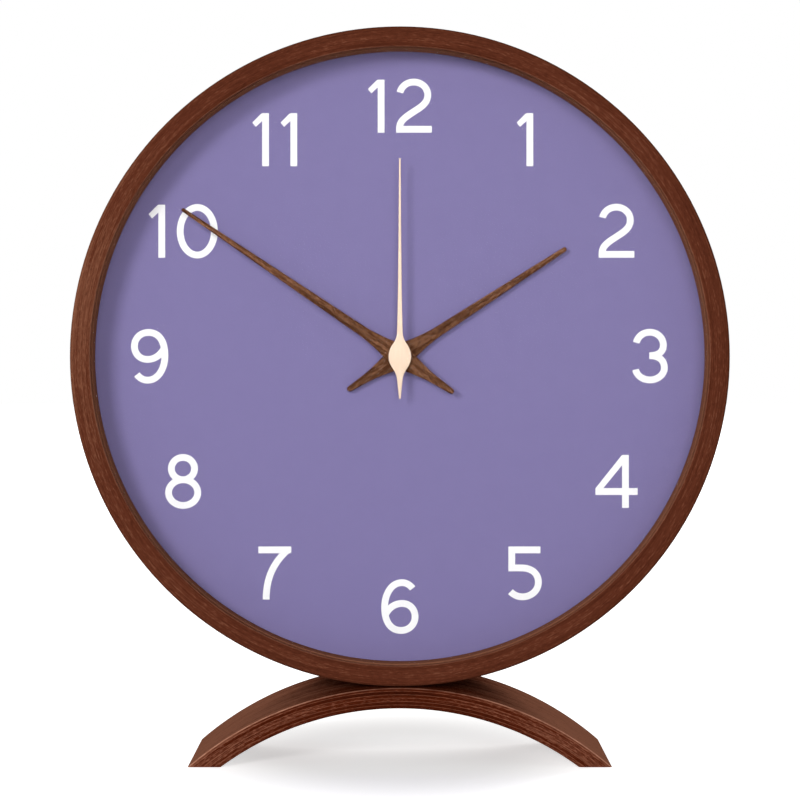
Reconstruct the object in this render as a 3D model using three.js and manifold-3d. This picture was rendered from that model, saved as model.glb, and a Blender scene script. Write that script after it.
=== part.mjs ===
// A round wooden table clock on a bent-wood arch, with its quartz movement.
// Millimetres, +Z up, dial facing -Y, origin on the floor under the middle of the clock.
import * as THREE from "three";
import { mergeVertices } from "three/addons/utils/BufferGeometryUtils.js";
import Module from "manifold-3d";

const wasm = await Module();
wasm.setup();

// Clearances
const FIT_GAP = 0.3; // between pieces that seat on or in each other
const RUN_GAP = 0.2; // round shafts and pipes that turn in a bore
const PUSH_GAP = 0.1; // round hubs and wheels pushed on a shaft

// Wooden case
const RING_RADIUS = 100;
const RIM_WIDTH = 6.2;
const RIM_ROUND = 1.2;
const LIP_ROUND = 0.5;
const LIP_THICKNESS = 2;
const REBATE_DEPTH = 1.4;
const CASE_DEPTH = 40;
const GLASS_THICKNESS = 2;
const DIAL_RECESS = 10.5; // rim face to dial face
const DIAL_THICKNESS = 3;
const RETAINER_WALL = 3;
const PANEL_THICKNESS = 3;
const PANEL_INSET = 0.4;
const WINDOW_WIDTH = 72;
const WINDOW_HEIGHT = 62;
const WINDOW_ROUND = 6;

// Arched base
const ARCH_RADIUS = 98;
const ARCH_THICKNESS = 6.3;
const ARCH_HEIGHT = 24;
const ARCH_EDGE = 0.4;
const BASE_SCREW_INSET = 10; // screw axis to the front or back of the arch

// Screws: head radius, head height, shank radius, length
const PANEL_SCREW = { head: 1.5, headHeight: 1.1, shank: 0.8, length: 10 };
const BASE_SCREW = { head: 3, headHeight: 1.8, shank: 1.4, length: 10.6 };
const MOVEMENT_SCREW = { head: 2, headHeight: 1.2, shank: 0.9, length: 4.2 };
const PANEL_SCREW_COUNT = 4;
const PANEL_SCREW_INSET = 2.7; // screw axis to the outside of the ring
const SCREW_TIP = 1;
const SCREW_RIM = 0.2;
const RECESS_WIDTH = 0.5;
const RECESS_DEPTH = 0.6;

// Hands: reach from the shaft, tail, thickness and half widths
const HOUR_REACH = 61;
const HOUR_TAIL = 19.2;
const MINUTE_REACH = 80.6;
const MINUTE_TAIL = 19.9;
const SECOND_REACH = 60.5;
const SECOND_TAIL = 13;
const HAND_THICKNESS = 1;
const SECOND_THICKNESS = 0.4;
const HAND_HUB_HALF = 3.3;
const BLADE_ROOT = 13;
const BLADE_ROOT_HALF = 1.6;
const BLADE_FLARE = 6.5;
const BLADE_FLARE_HALF = 2;
const HOUR_TIP_HALF = 0.7;
const MINUTE_TIP_HALF = 0.55;
const TAIL_ROOT = 12;
const TAIL_ROOT_HALF = 1.35;
const TAIL_FLARE = 7.2;
const TAIL_FLARE_HALF = 1.85;
const TAIL_END_HALF = 0.85;
const SECOND_BOSS_HALF = 3.45;
const SECOND_BOSS_REACH = 6.75;
const SECOND_SHOULDER = 4;
const SECOND_SHOULDER_HALF = 2;
const SECOND_FILLET = 5.2;
const SECOND_FILLET_HALF = 1.15;
const SECOND_STEM_HALF = 0.9;
const SECOND_NECK = 15;
const SECOND_NECK_HALF = 0.5;
const SECOND_TIP_HALF = 0.25;
const SECOND_COLLET_WALL = 0.6;
const HAND_STANDOFF = 1.1; // dial face to hour hand
const HAND_SPACING = 1; // air between one hand and the next
const HOUR_ANGLE = THREE.MathUtils.degToRad(57);
const MINUTE_ANGLE = THREE.MathUtils.degToRad(304.05);

// Shafts at the centre
const SECOND_SHAFT = 0.6;
const MINUTE_PIPE_WALL = 0.6;
const HOUR_PIPE_WALL = 0.6;
const BUSH_WALL = 0.6;
const BUSH_PROUD = 0.3; // bush end past the dial face

// Movement housing
const MOVEMENT_SIZE = 56;
const MOVEMENT_ROUND = 4;
const MOVEMENT_DEPTH = 16.5;
const CASE_WALL = 1.4;
const BAY_WALL = 1.2;
const LUG_REACH = 36;
const LUG_WIDTH = 9;
const LUG_THICKNESS = 2;
const LUG_SCREW_REACH = 31.6;
const PLATE_THICKNESS = 1;
const POST_RADIUS = 1.4;
const POST_INSET = 3;
const KNOB_RADIUS = 5;
const KNOB_HEIGHT = 3;
const KNOB_GRIPS = 20;
const KNOB_GRIP_DEPTH = 0.4;

// Gear train
const WHEEL_THICKNESS = 1.2;
const LAYER_GAP = 0.5;
const ARBOR_RADIUS = 0.6;
const PIVOT_RADIUS = 0.4;
const PIVOT_LENGTH = 0.8;
const KNOB_SHAFT_RADIUS = 1.2;
const MOTION_DISTANCE = 12;
const THIRD_DISTANCE = 10;
const FIFTH_DISTANCE = 10.4;
const ROTOR_DISTANCE = 7;
const MOTION_BEARING = THREE.MathUtils.degToRad(150);
const THIRD_BEARING = THREE.MathUtils.degToRad(30);
const FIFTH_BEARING = THREE.MathUtils.degToRad(95);
const ROTOR_BEARING = THREE.MathUtils.degToRad(90);
const TEETH = {
  cannon: 10,
  motionWheel: 30,
  motionPinion: 8,
  hourWheel: 32,
  thirdPinion: 6,
  centreWheel: 48,
  secondPinion: 6,
  thirdWheel: 45,
  fifthPinion: 8,
  secondWheel: 40,
  rotorPinion: 7,
  fifthWheel: 42,
};
const PRESSURE_ANGLE = THREE.MathUtils.degToRad(25);
const TOOTH_FILL = 0.4; // tooth width at the pitch circle, as a part of the pitch
const ADDENDUM = 0.72; // in modules
const DEDENDUM = 1.1; // in modules
const WHEEL_FLANK = 2; // points on a tooth's flank
const PINION_FLANK = 3;

// Motor and electronics
const MAGNET_RADIUS = 3;
const MAGNET_LENGTH = 3;
const STATOR_THICKNESS = 1;
const STATOR_STANDOFF = 1.4;
const STATOR_MARGIN = 4; // plate past the rotor hole
const STATOR_LEG = 3.4;
const STATOR_SPAN = 28;
const CORE_THICKNESS = 1;
const CORE_WIDTH = 3;
const COIL_OUTER = 3;
const COIL_FLANGE = 0.8;
const BOBBIN_WALL = 0.5;
const FLANGE_RISE = 0.3; // flange past the winding
const COIL_CLEAR = 1; // coil flange to housing wall
const BOARD_WIDTH = 15;
const BOARD_HEIGHT = 9;
const BOARD_THICKNESS = 1;
const BOARD_STANDOFF = 3.6;
const BOARD_INSET = 1.2; // board edge to housing wall
const CHIP_SIZE = 4;
const CHIP_HEIGHT = 1.2;
const CRYSTAL_RADIUS = 1;
const CRYSTAL_LENGTH = 6;

// Battery
const CELL_RADIUS = 7.25;
const CELL_LENGTH = 49;
const CELL_NUB_RADIUS = 2.75;
const CELL_NUB_LENGTH = 1.4;
const CELL_EDGE = 0.6;
const CONTACT_THICKNESS = 0.4;
const CONTACT_WIDTH = 8;
const CONTACT_HEIGHT = 9;

// Facets round a full circle
const RING_SIDES = 72;
const DISC_SIDES = 40;
const CELL_SIDES = 20;
const ARCH_STEPS = 18; // facets along the arch
const LEAF_STEPS = 8; // facets along a contact's bow
const SHAFT_SIDES = 12;
const SCREW_SIDES = 8;
const ARBOR_SIDES = 8;

// Depth stations along Y, front to back
const rimY = -CASE_DEPTH / 2;
const lipBackY = rimY + LIP_THICKNESS;
const glassY = lipBackY + FIT_GAP;
const spacerY = glassY + GLASS_THICKNESS + FIT_GAP;
const dialY = rimY + DIAL_RECESS;
const dialBackY = dialY + DIAL_THICKNESS;
const retainerY = dialBackY + FIT_GAP;
const panelBackY = CASE_DEPTH / 2;
const panelY = panelBackY - PANEL_THICKNESS;
const ringBackY = panelY - FIT_GAP;
const hourHandY = dialY - HAND_STANDOFF;
const minuteHandY = hourHandY - HAND_THICKNESS - HAND_SPACING;
const secondHandY = minuteHandY - HAND_THICKNESS - HAND_SPACING;
const movementY = dialBackY + FIT_GAP;
const movementBackY = movementY + MOVEMENT_DEPTH;
const chamberY = movementY + CASE_WALL;
const coverY = movementBackY - CASE_WALL;

// Depth layers of the gear train, front to back
const hourLayerY = chamberY + LAYER_GAP;
const motionLayerY = hourLayerY + WHEEL_THICKNESS + LAYER_GAP;
const plateY = motionLayerY + WHEEL_THICKNESS + LAYER_GAP;
const plateBackY = plateY + PLATE_THICKNESS;
const centreLayerY = plateBackY + LAYER_GAP;
const thirdLayerY = centreLayerY + WHEEL_THICKNESS + LAYER_GAP;
const secondLayerY = thirdLayerY + WHEEL_THICKNESS + LAYER_GAP;
const fifthLayerY = secondLayerY + WHEEL_THICKNESS + LAYER_GAP;

// Radii that follow from each other
const ringInner = RING_RADIUS - RIM_WIDTH;
const rebateRadius = ringInner + REBATE_DEPTH;
const insertRadius = rebateRadius - FIT_GAP;
const panelRadius = RING_RADIUS - PANEL_INSET;
const panelScrewRadius = RING_RADIUS - PANEL_SCREW_INSET;
const minutePipeBore = SECOND_SHAFT + RUN_GAP;
const minutePipe = minutePipeBore + MINUTE_PIPE_WALL;
const hourPipeBore = minutePipe + RUN_GAP;
const hourPipe = hourPipeBore + HOUR_PIPE_WALL;
const bushBore = hourPipe + RUN_GAP;
const bushRadius = bushBore + BUSH_WALL;

// Heights
const archCentreZ = ARCH_HEIGHT - ARCH_RADIUS;
const archUnderZ = ARCH_HEIGHT - ARCH_THICKNESS;
const dialHeight = ARCH_HEIGHT + FIT_GAP + RING_RADIUS;

// Movement plan, measured from the centre shaft in X and Z
const housingHalf = MOVEMENT_SIZE / 2;
const chamberHalf = housingHalf - CASE_WALL;
const cellZ = -housingHalf + BAY_WALL + FIT_GAP + CELL_RADIUS;
const cellY = chamberY + FIT_GAP + CELL_RADIUS;
const bayTopZ = cellZ + CELL_RADIUS + FIT_GAP;
const bayBottomZ = cellZ - CELL_RADIUS - FIT_GAP;
const chamberBottomZ = bayTopZ + BAY_WALL;
const coverEdgeZ = bayTopZ + BAY_WALL / 2;
const motionAxis = polar(MOTION_DISTANCE, MOTION_BEARING);
const thirdAxis = polar(THIRD_DISTANCE, THIRD_BEARING);
const fifthAxis = polar(FIFTH_DISTANCE, FIFTH_BEARING);
const rotorAxis = fifthAxis.clone().add(polar(ROTOR_DISTANCE, ROTOR_BEARING));
const centreAxis = new THREE.Vector2(0, 0);

// Finishes
const finish = (color, roughness, metalness = 0) =>
  new THREE.MeshStandardMaterial({ color, roughness, metalness });
const walnut = finish(0x6e4230, 0.6);
const walnutStrip = finish(0x865648, 0.65);
const handWood = finish(0x7a4a35, 0.6);
const purplePaint = finish(0x8379a7, 0.8);
const champagne = finish(0xe8d2ba, 0.35, 0.6);
const clearGlass = finish(0xf2f6f6, 0.05);
const fibreboard = finish(0x3a2c24, 0.85);
const blackPlastic = finish(0x161617, 0.5);
const whitePlastic = finish(0xe4e1d8, 0.5);
const steel = finish(0x9a9a9c, 0.35, 1);
const copper = finish(0xb26a3c, 0.4, 0.9);
const magnetGrey = finish(0x4c4c50, 0.5, 0.5);
const boardGreen = finish(0x1f5a3a, 0.6);
const cellWrap = finish(0x8b8f94, 0.4, 0.2);

// Small helpers

function polar(distance, bearing) {
  return new THREE.Vector2(distance * Math.cos(bearing), distance * Math.sin(bearing));
}

// A closed geometry as a solid for joins and cuts.
function toSolid(geometry) {
  const bare = geometry.index ? geometry.toNonIndexed() : geometry.clone();
  bare.deleteAttribute("normal");
  bare.deleteAttribute("uv");
  const merged = mergeVertices(bare);
  const corners = merged.index.array;
  const kept = [];
  for (let i = 0; i < corners.length; i += 3) {
    const [a, b, c] = corners.slice(i, i + 3);
    if (a !== b && b !== c && c !== a) kept.push(a, b, c);
  }
  const mesh = new wasm.Mesh({
    numProp: 3,
    vertProperties: merged.attributes.position.array,
    triVerts: new Uint32Array(kept),
  });
  return new wasm.Manifold(mesh);
}

function toGeometry(solid) {
  const { vertProperties, triVerts } = solid.getMesh();
  const geometry = new THREE.BufferGeometry();
  geometry.setAttribute("position", new THREE.BufferAttribute(vertProperties, 3));
  geometry.setIndex(new THREE.BufferAttribute(triVerts, 1));
  const flat = geometry.toNonIndexed();
  flat.computeVertexNormals();
  return flat;
}

// The first geometry with others joined on and then others cut away.
function shaped(base, { join = [], cut = [] }) {
  const joined = join.reduce((solid, piece) => solid.add(toSolid(piece)), toSolid(base));
  const trimmed = cut.reduce((solid, piece) => solid.subtract(toSolid(piece)), joined);
  return toGeometry(trimmed);
}

// A flat shape drawn in X and Z, filling the depth between two Y stations.
function plate(shape, frontY, backY, curveSegments = 6) {
  const depth = backY - frontY;
  const geometry = new THREE.ExtrudeGeometry(shape, { depth, bevelEnabled: false, curveSegments });
  return geometry.rotateX(Math.PI / 2).translate(0, backY, 0);
}

// A profile of [radius, station] pairs turned about Y.
function turned(profile, sides = SHAFT_SIDES) {
  const points = profile.map(([radius, station]) => new THREE.Vector2(radius, station));
  return new THREE.LatheGeometry(points, sides);
}

function rod(radius, frontY, backY, axis = centreAxis, sides = SHAFT_SIDES) {
  const profile = [
    [0, frontY],
    [radius, frontY],
    [radius, backY],
    [0, backY],
  ];
  return turned(profile, sides).translate(axis.x, 0, axis.y);
}

function tube(inner, outer, frontY, backY, sides = SHAFT_SIDES) {
  const profile = [
    [inner, frontY],
    [outer, frontY],
    [outer, backY],
    [inner, backY],
    [inner, frontY],
  ];
  return turned(profile, sides);
}

function block(x0, x1, y0, y1, z0, z1) {
  const box = new THREE.BoxGeometry(x1 - x0, y1 - y0, z1 - z0);
  return box.translate((x0 + x1) / 2, (y0 + y1) / 2, (z0 + z1) / 2);
}

function roundedRect(halfWidth, bottom, top, round) {
  const shape = new THREE.Shape();
  shape.absarc(halfWidth - round, top - round, round, 0, Math.PI / 2);
  shape.absarc(-halfWidth + round, top - round, round, Math.PI / 2, Math.PI);
  shape.absarc(-halfWidth + round, bottom + round, round, Math.PI, 1.5 * Math.PI);
  shape.absarc(halfWidth - round, bottom + round, round, 1.5 * Math.PI, 2 * Math.PI);
  return shape;
}

function roundHole(radius, axis) {
  const path = new THREE.Path();
  path.absarc(axis.x, axis.y, radius, 0, 2 * Math.PI);
  return path;
}

// Quarter round from one angle to another, as profile points.
function corner(radius, station, round, fromAngle, toAngle, steps = 3) {
  return Array.from({ length: steps + 1 }, (_, i) => {
    const angle = fromAngle + ((toAngle - fromAngle) * i) / steps;
    return [radius + round * Math.cos(angle), station + round * Math.sin(angle)];
  });
}

// A countersunk screw along +Y from its head; grow turns it into the cutter for its hole.
function screwProfile(spec, grow = 0) {
  const { head, headHeight, shank, length } = spec;
  return [
    [0, -grow],
    [head + grow, -grow],
    [head + grow, SCREW_RIM],
    [shank + grow, headHeight],
    [shank + grow, length - SCREW_TIP + grow],
    [0, length + grow],
  ];
}

function screw(spec) {
  const slot = spec.head / 2;
  const half = RECESS_WIDTH / 2;
  const recess = [
    block(-slot, slot, -FIT_GAP, RECESS_DEPTH, -half, half),
    block(-half, half, -FIT_GAP, RECESS_DEPTH, -slot, slot),
  ];
  return shaped(turned(screwProfile(spec), SCREW_SIDES), { cut: recess });
}

function screwHole(spec) {
  return turned(screwProfile(spec, FIT_GAP), SCREW_SIDES);
}

// Turns a +Y piece to point at the front and puts its head at a place.
function facingFront(geometry, x, y, z) {
  return geometry.rotateX(Math.PI).translate(x, y, z);
}

function facingUp(geometry, x, y, z) {
  return geometry.rotateX(Math.PI / 2).translate(x, y, z);
}

// Involute gear outline with one tooth centred on the given angle.
function gearShape(teeth, module, phase, flankPoints) {
  const pitch = (teeth * module) / 2;
  const base = pitch * Math.cos(PRESSURE_ANGLE);
  const tip = pitch + ADDENDUM * module;
  const root = pitch - DEDENDUM * module;
  const involute = (angle) => Math.tan(angle) - angle;
  const halfAtPitch = (TOOTH_FILL * Math.PI) / teeth;
  const halfAt = (radius) => {
    const angle = Math.acos(Math.min(1, base / radius));
    return halfAtPitch + involute(PRESSURE_ANGLE) - involute(angle);
  };
  const flank = Array.from({ length: flankPoints }, (_, i) => {
    const radius = root + ((tip - root) * i) / (flankPoints - 1);
    return { radius, half: halfAt(radius) };
  });
  const points = [];
  for (let tooth = 0; tooth < teeth; tooth += 1) {
    const middle = phase + (2 * Math.PI * tooth) / teeth;
    const rising = flank.map(({ radius, half }) => polar(radius, middle - half));
    const falling = flank.toReversed().map(({ radius, half }) => polar(radius, middle + half));
    points.push(...rising, ...falling);
  }
  return new THREE.Shape(points);
}

// Two gears in mesh: a tooth of the first faces a gap of the second along the line of centres.
function gearPair(firstTeeth, firstAxis, secondTeeth, secondAxis, layerY) {
  const line = secondAxis.clone().sub(firstAxis);
  const module = (2 * line.length()) / (firstTeeth + secondTeeth);
  const flank = (teeth) => (teeth > TEETH.cannon ? WHEEL_FLANK : PINION_FLANK);
  const make = (teeth, axis, phase) => {
    const shape = gearShape(teeth, module, phase, flank(teeth));
    return plate(shape, layerY, layerY + WHEEL_THICKNESS).translate(axis.x, 0, axis.y);
  };
  const bearing = line.angle();
  const first = make(firstTeeth, firstAxis, bearing);
  const second = make(secondTeeth, secondAxis, bearing + Math.PI + Math.PI / secondTeeth);
  return [first, second];
}

const [cannonGear, motionWheelGear] = gearPair(
  TEETH.cannon, centreAxis, TEETH.motionWheel, motionAxis, motionLayerY,
);
const [motionPinionGear, hourWheelGear] = gearPair(
  TEETH.motionPinion, motionAxis, TEETH.hourWheel, centreAxis, hourLayerY,
);
const [thirdPinionGear, centreWheelGear] = gearPair(
  TEETH.thirdPinion, thirdAxis, TEETH.centreWheel, centreAxis, centreLayerY,
);
const [secondPinionGear, thirdWheelGear] = gearPair(
  TEETH.secondPinion, centreAxis, TEETH.thirdWheel, thirdAxis, thirdLayerY,
);
const [fifthPinionGear, secondWheelGear] = gearPair(
  TEETH.fifthPinion, fifthAxis, TEETH.secondWheel, centreAxis, secondLayerY,
);
const [rotorPinionGear, fifthWheelGear] = gearPair(
  TEETH.rotorPinion, rotorAxis, TEETH.fifthWheel, fifthAxis, fifthLayerY,
);

// Wooden case

const panelScrewPlaces = Array.from({ length: PANEL_SCREW_COUNT }, (_, i) =>
  polar(panelScrewRadius, ((i + 0.5) * 2 * Math.PI) / PANEL_SCREW_COUNT),
);
const baseScrewDepths = [rimY + BASE_SCREW_INSET, panelBackY - BASE_SCREW_INSET];

function panelScrewHoles() {
  return panelScrewPlaces.map((place) =>
    facingFront(screwHole(PANEL_SCREW), place.x, panelBackY, place.y),
  );
}

function frameRing() {
  const profile = [
    ...corner(ringInner + LIP_ROUND, rimY + LIP_ROUND, LIP_ROUND, -Math.PI, -Math.PI / 2, 1),
    ...corner(RING_RADIUS - RIM_ROUND, rimY + RIM_ROUND, RIM_ROUND, -Math.PI / 2, 0),
    [RING_RADIUS, ringBackY],
    [rebateRadius, ringBackY],
    [rebateRadius, lipBackY],
    [ringInner, lipBackY],
    [ringInner, rimY + LIP_ROUND],
  ];
  const baseHoles = baseScrewDepths.map((y) =>
    facingUp(screwHole(BASE_SCREW), 0, y, archUnderZ - dialHeight),
  );
  return shaped(turned(profile, RING_SIDES), { cut: [...baseHoles, ...panelScrewHoles()] });
}

function frontGlass() {
  return rod(insertRadius, glassY, glassY + GLASS_THICKNESS, centreAxis, DISC_SIDES);
}

function spacerRing() {
  return tube(ringInner, insertRadius, spacerY, dialY - FIT_GAP, DISC_SIDES);
}

function retainerRing() {
  return tube(insertRadius - RETAINER_WALL, insertRadius, retainerY, ringBackY, DISC_SIDES);
}

function backPanel() {
  const disc = rod(panelRadius, panelY, panelBackY, centreAxis, RING_SIDES);
  const opening = roundedRect(WINDOW_WIDTH / 2, -WINDOW_HEIGHT / 2, WINDOW_HEIGHT / 2, WINDOW_ROUND);
  const window = plate(opening, panelY - FIT_GAP, panelBackY + FIT_GAP);
  return shaped(disc, { cut: [window, ...panelScrewHoles()] });
}

function dialPlate() {
  const disc = tube(bushRadius + FIT_GAP, insertRadius, dialY, dialBackY, DISC_SIDES);
  const holes = [-LUG_SCREW_REACH, LUG_SCREW_REACH].map((x) =>
    facingFront(screwHole(MOVEMENT_SCREW), x, movementY + LUG_THICKNESS, 0),
  );
  return shaped(disc, { cut: holes });
}

function baseArch() {
  const inner = ARCH_RADIUS - ARCH_THICKNESS;
  const outerFoot = Math.asin(-archCentreZ / ARCH_RADIUS);
  const innerFoot = Math.asin(-archCentreZ / inner);
  const shape = new THREE.Shape();
  shape.absarc(0, archCentreZ, ARCH_RADIUS, outerFoot, Math.PI - outerFoot);
  shape.absarc(0, archCentreZ, inner, Math.PI - innerFoot, innerFoot, true);
  const blank = new THREE.ExtrudeGeometry(shape, {
    depth: CASE_DEPTH - 2 * ARCH_EDGE,
    bevelThickness: ARCH_EDGE,
    bevelSize: ARCH_EDGE,
    bevelOffset: -ARCH_EDGE,
    bevelSegments: 1,
    curveSegments: ARCH_STEPS,
  });
  blank.rotateX(Math.PI / 2).translate(0, panelBackY - ARCH_EDGE, 0);
  const holes = baseScrewDepths.map((y) => facingUp(screwHole(BASE_SCREW), 0, y, archUnderZ));
  return shaped(blank, { cut: holes });
}

// Hands, drawn pointing at twelve

function handShape(reach, tipHalf, tail) {
  const shape = new THREE.Shape();
  shape.moveTo(HAND_HUB_HALF, 0);
  shape.quadraticCurveTo(BLADE_FLARE_HALF, BLADE_FLARE, BLADE_ROOT_HALF, BLADE_ROOT);
  shape.lineTo(tipHalf, reach - tipHalf);
  shape.absarc(0, reach - tipHalf, tipHalf, 0, Math.PI);
  shape.lineTo(-BLADE_ROOT_HALF, BLADE_ROOT);
  shape.quadraticCurveTo(-BLADE_FLARE_HALF, BLADE_FLARE, -HAND_HUB_HALF, 0);
  shape.quadraticCurveTo(-TAIL_FLARE_HALF, -TAIL_FLARE, -TAIL_ROOT_HALF, -TAIL_ROOT);
  shape.lineTo(-TAIL_END_HALF, TAIL_END_HALF - tail);
  shape.absarc(0, TAIL_END_HALF - tail, TAIL_END_HALF, Math.PI, 2 * Math.PI);
  shape.lineTo(TAIL_ROOT_HALF, -TAIL_ROOT);
  shape.quadraticCurveTo(TAIL_FLARE_HALF, -TAIL_FLARE, HAND_HUB_HALF, 0);
  return shape;
}

function woodenHand(shape, pipeRadius, backY) {
  shape.holes.push(roundHole(pipeRadius + PUSH_GAP, centreAxis));
  return plate(shape, backY - HAND_THICKNESS, backY);
}

// Half of the boss outline on one side, from its widest point out to the stem.
function bossFlank(shape, side, end) {
  shape.quadraticCurveTo(
    side * SECOND_BOSS_HALF, (end * SECOND_SHOULDER) / 2,
    side * SECOND_SHOULDER_HALF, end * SECOND_SHOULDER,
  );
  shape.quadraticCurveTo(
    side * SECOND_FILLET_HALF, end * SECOND_FILLET,
    side * SECOND_STEM_HALF, end * SECOND_BOSS_REACH,
  );
}

function secondHand() {
  const shape = new THREE.Shape();
  shape.moveTo(SECOND_BOSS_HALF, 0);
  bossFlank(shape, 1, 1);
  shape.quadraticCurveTo(SECOND_NECK_HALF, SECOND_NECK, SECOND_TIP_HALF, SECOND_REACH);
  shape.lineTo(-SECOND_TIP_HALF, SECOND_REACH);
  shape.quadraticCurveTo(-SECOND_NECK_HALF, SECOND_NECK, -SECOND_STEM_HALF, SECOND_BOSS_REACH);
  shape.quadraticCurveTo(
    -SECOND_FILLET_HALF, SECOND_FILLET, -SECOND_SHOULDER_HALF, SECOND_SHOULDER,
  );
  shape.quadraticCurveTo(-SECOND_BOSS_HALF, SECOND_SHOULDER / 2, -SECOND_BOSS_HALF, 0);
  bossFlank(shape, -1, -1);
  shape.lineTo(-SECOND_TIP_HALF, -SECOND_TAIL);
  shape.lineTo(SECOND_TIP_HALF, -SECOND_TAIL);
  shape.lineTo(SECOND_STEM_HALF, -SECOND_BOSS_REACH);
  shape.quadraticCurveTo(
    SECOND_FILLET_HALF, -SECOND_FILLET, SECOND_SHOULDER_HALF, -SECOND_SHOULDER,
  );
  shape.quadraticCurveTo(SECOND_BOSS_HALF, -SECOND_SHOULDER / 2, SECOND_BOSS_HALF, 0);
  const blade = plate(shape, secondHandY - SECOND_THICKNESS, secondHandY);
  const bore = SECOND_SHAFT + PUSH_GAP;
  const colletBackY = secondHandY + HAND_SPACING - FIT_GAP;
  const socketY = secondHandY - SECOND_THICKNESS / 2;
  const collet = rod(bore + SECOND_COLLET_WALL, socketY, colletBackY);
  const socket = rod(bore, socketY, colletBackY + FIT_GAP);
  return shaped(blade, { join: [collet], cut: [socket] });
}

// Movement housing

const housingShape = () =>
  roundedRect(housingHalf, -housingHalf, housingHalf, MOVEMENT_ROUND);
const postPlaces = [
  new THREE.Vector2(chamberHalf - POST_INSET, chamberHalf - POST_INSET),
  new THREE.Vector2(-chamberHalf + POST_INSET, chamberHalf - POST_INSET),
  new THREE.Vector2(chamberHalf - POST_INSET, chamberBottomZ + POST_INSET),
  new THREE.Vector2(-chamberHalf + POST_INSET, chamberBottomZ + POST_INSET),
];

function movementCase() {
  const past = FIT_GAP;
  const lugs = roundedRect(LUG_REACH, -LUG_WIDTH / 2, LUG_WIDTH / 2, LUG_WIDTH / 2);
  const bushEndY = dialY - BUSH_PROUD;
  const posts = postPlaces.map((place) => rod(POST_RADIUS, movementY, plateY - FIT_GAP, place, ARBOR_SIDES));
  const shell = shaped(plate(housingShape(), movementY, movementBackY), {
    join: [plate(lugs, movementY, movementY + LUG_THICKNESS), rod(bushRadius, bushEndY, chamberY)],
    cut: [
      block(-chamberHalf, chamberHalf, chamberY, movementBackY, chamberBottomZ, chamberHalf),
      block(-chamberHalf, chamberHalf, chamberY, movementBackY + past, bayBottomZ, bayTopZ),
      block(
        -housingHalf - past, housingHalf + past,
        coverY - FIT_GAP, movementBackY + past,
        coverEdgeZ - FIT_GAP, housingHalf + past,
      ),
      rod(bushBore, bushEndY - past, chamberY + past),
      rod(PIVOT_RADIUS + RUN_GAP, chamberY - PIVOT_LENGTH - past, chamberY + past, motionAxis, ARBOR_SIDES),
      ...[-LUG_SCREW_REACH, LUG_SCREW_REACH].map((x) =>
        facingFront(screwHole(MOVEMENT_SCREW), x, movementY + LUG_THICKNESS, 0),
      ),
    ],
  });
  return shaped(shell, { join: posts });
}

function pivotHole(axis, shoulderY, direction) {
  const far = shoulderY + direction * (PIVOT_LENGTH + FIT_GAP);
  const near = shoulderY - direction * FIT_GAP;
  return rod(PIVOT_RADIUS + RUN_GAP, Math.min(far, near), Math.max(far, near), axis, ARBOR_SIDES);
}

function movementCover() {
  const outline = plate(housingShape(), coverY, movementBackY);
  const below = block(
    -housingHalf - FIT_GAP, housingHalf + FIT_GAP,
    coverY - FIT_GAP, movementBackY + FIT_GAP,
    -housingHalf - FIT_GAP, coverEdgeZ,
  );
  const shaftHole = rod(
    KNOB_SHAFT_RADIUS + RUN_GAP, coverY - FIT_GAP, movementBackY + FIT_GAP, motionAxis,
  );
  const pivots = [centreAxis, thirdAxis, fifthAxis, rotorAxis].map((axis) =>
    pivotHole(axis, coverY, 1),
  );
  return shaped(outline, { cut: [below, shaftHole, ...pivots] });
}

const statorY = plateBackY + STATOR_STANDOFF;
const rotorHole = MAGNET_RADIUS + RUN_GAP + FIT_GAP;
const coilZ = chamberHalf - COIL_CLEAR - COIL_OUTER;
const statorBottomZ = rotorAxis.y - STATOR_MARGIN;
const statorRight = rotorAxis.x + STATOR_MARGIN + RUN_GAP;
const statorLeft = statorRight - STATOR_SPAN;
const poleLeft = rotorAxis.x - STATOR_MARGIN - RUN_GAP;
const boardY = plateBackY + BOARD_STANDOFF;
const boardRight = chamberHalf - BOARD_INSET;
const boardTopZ = chamberHalf - BOARD_INSET;
const boardLeft = boardRight - BOARD_WIDTH;
const boardBottomZ = boardTopZ - BOARD_HEIGHT;

function middlePlate() {
  const halfWidth = chamberHalf - FIT_GAP;
  const shape = roundedRect(halfWidth, chamberBottomZ + FIT_GAP, halfWidth, POST_RADIUS);
  shape.holes.push(
    roundHole(minutePipe + RUN_GAP, centreAxis),
    roundHole(KNOB_SHAFT_RADIUS + RUN_GAP, motionAxis),
    ...[thirdAxis, fifthAxis, rotorAxis].map((axis) => roundHole(PIVOT_RADIUS + RUN_GAP, axis)),
  );
  const legHalf = STATOR_LEG / 2;
  const statorPosts = [
    new THREE.Vector2(statorLeft + legHalf, statorBottomZ + legHalf),
    new THREE.Vector2(poleLeft + legHalf, coilZ),
  ].map((place) => rod(POST_RADIUS, plateY, statorY - FIT_GAP, place, ARBOR_SIDES));
  const boardPosts = [boardLeft + POST_INSET, boardRight - POST_INSET].map((x) =>
    rod(POST_RADIUS, plateY, boardY - FIT_GAP, new THREE.Vector2(x, boardTopZ - POST_INSET), ARBOR_SIDES),
  );
  return shaped(plate(shape, plateY, plateBackY), { join: [...statorPosts, ...boardPosts] });
}

// Gear train

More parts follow.
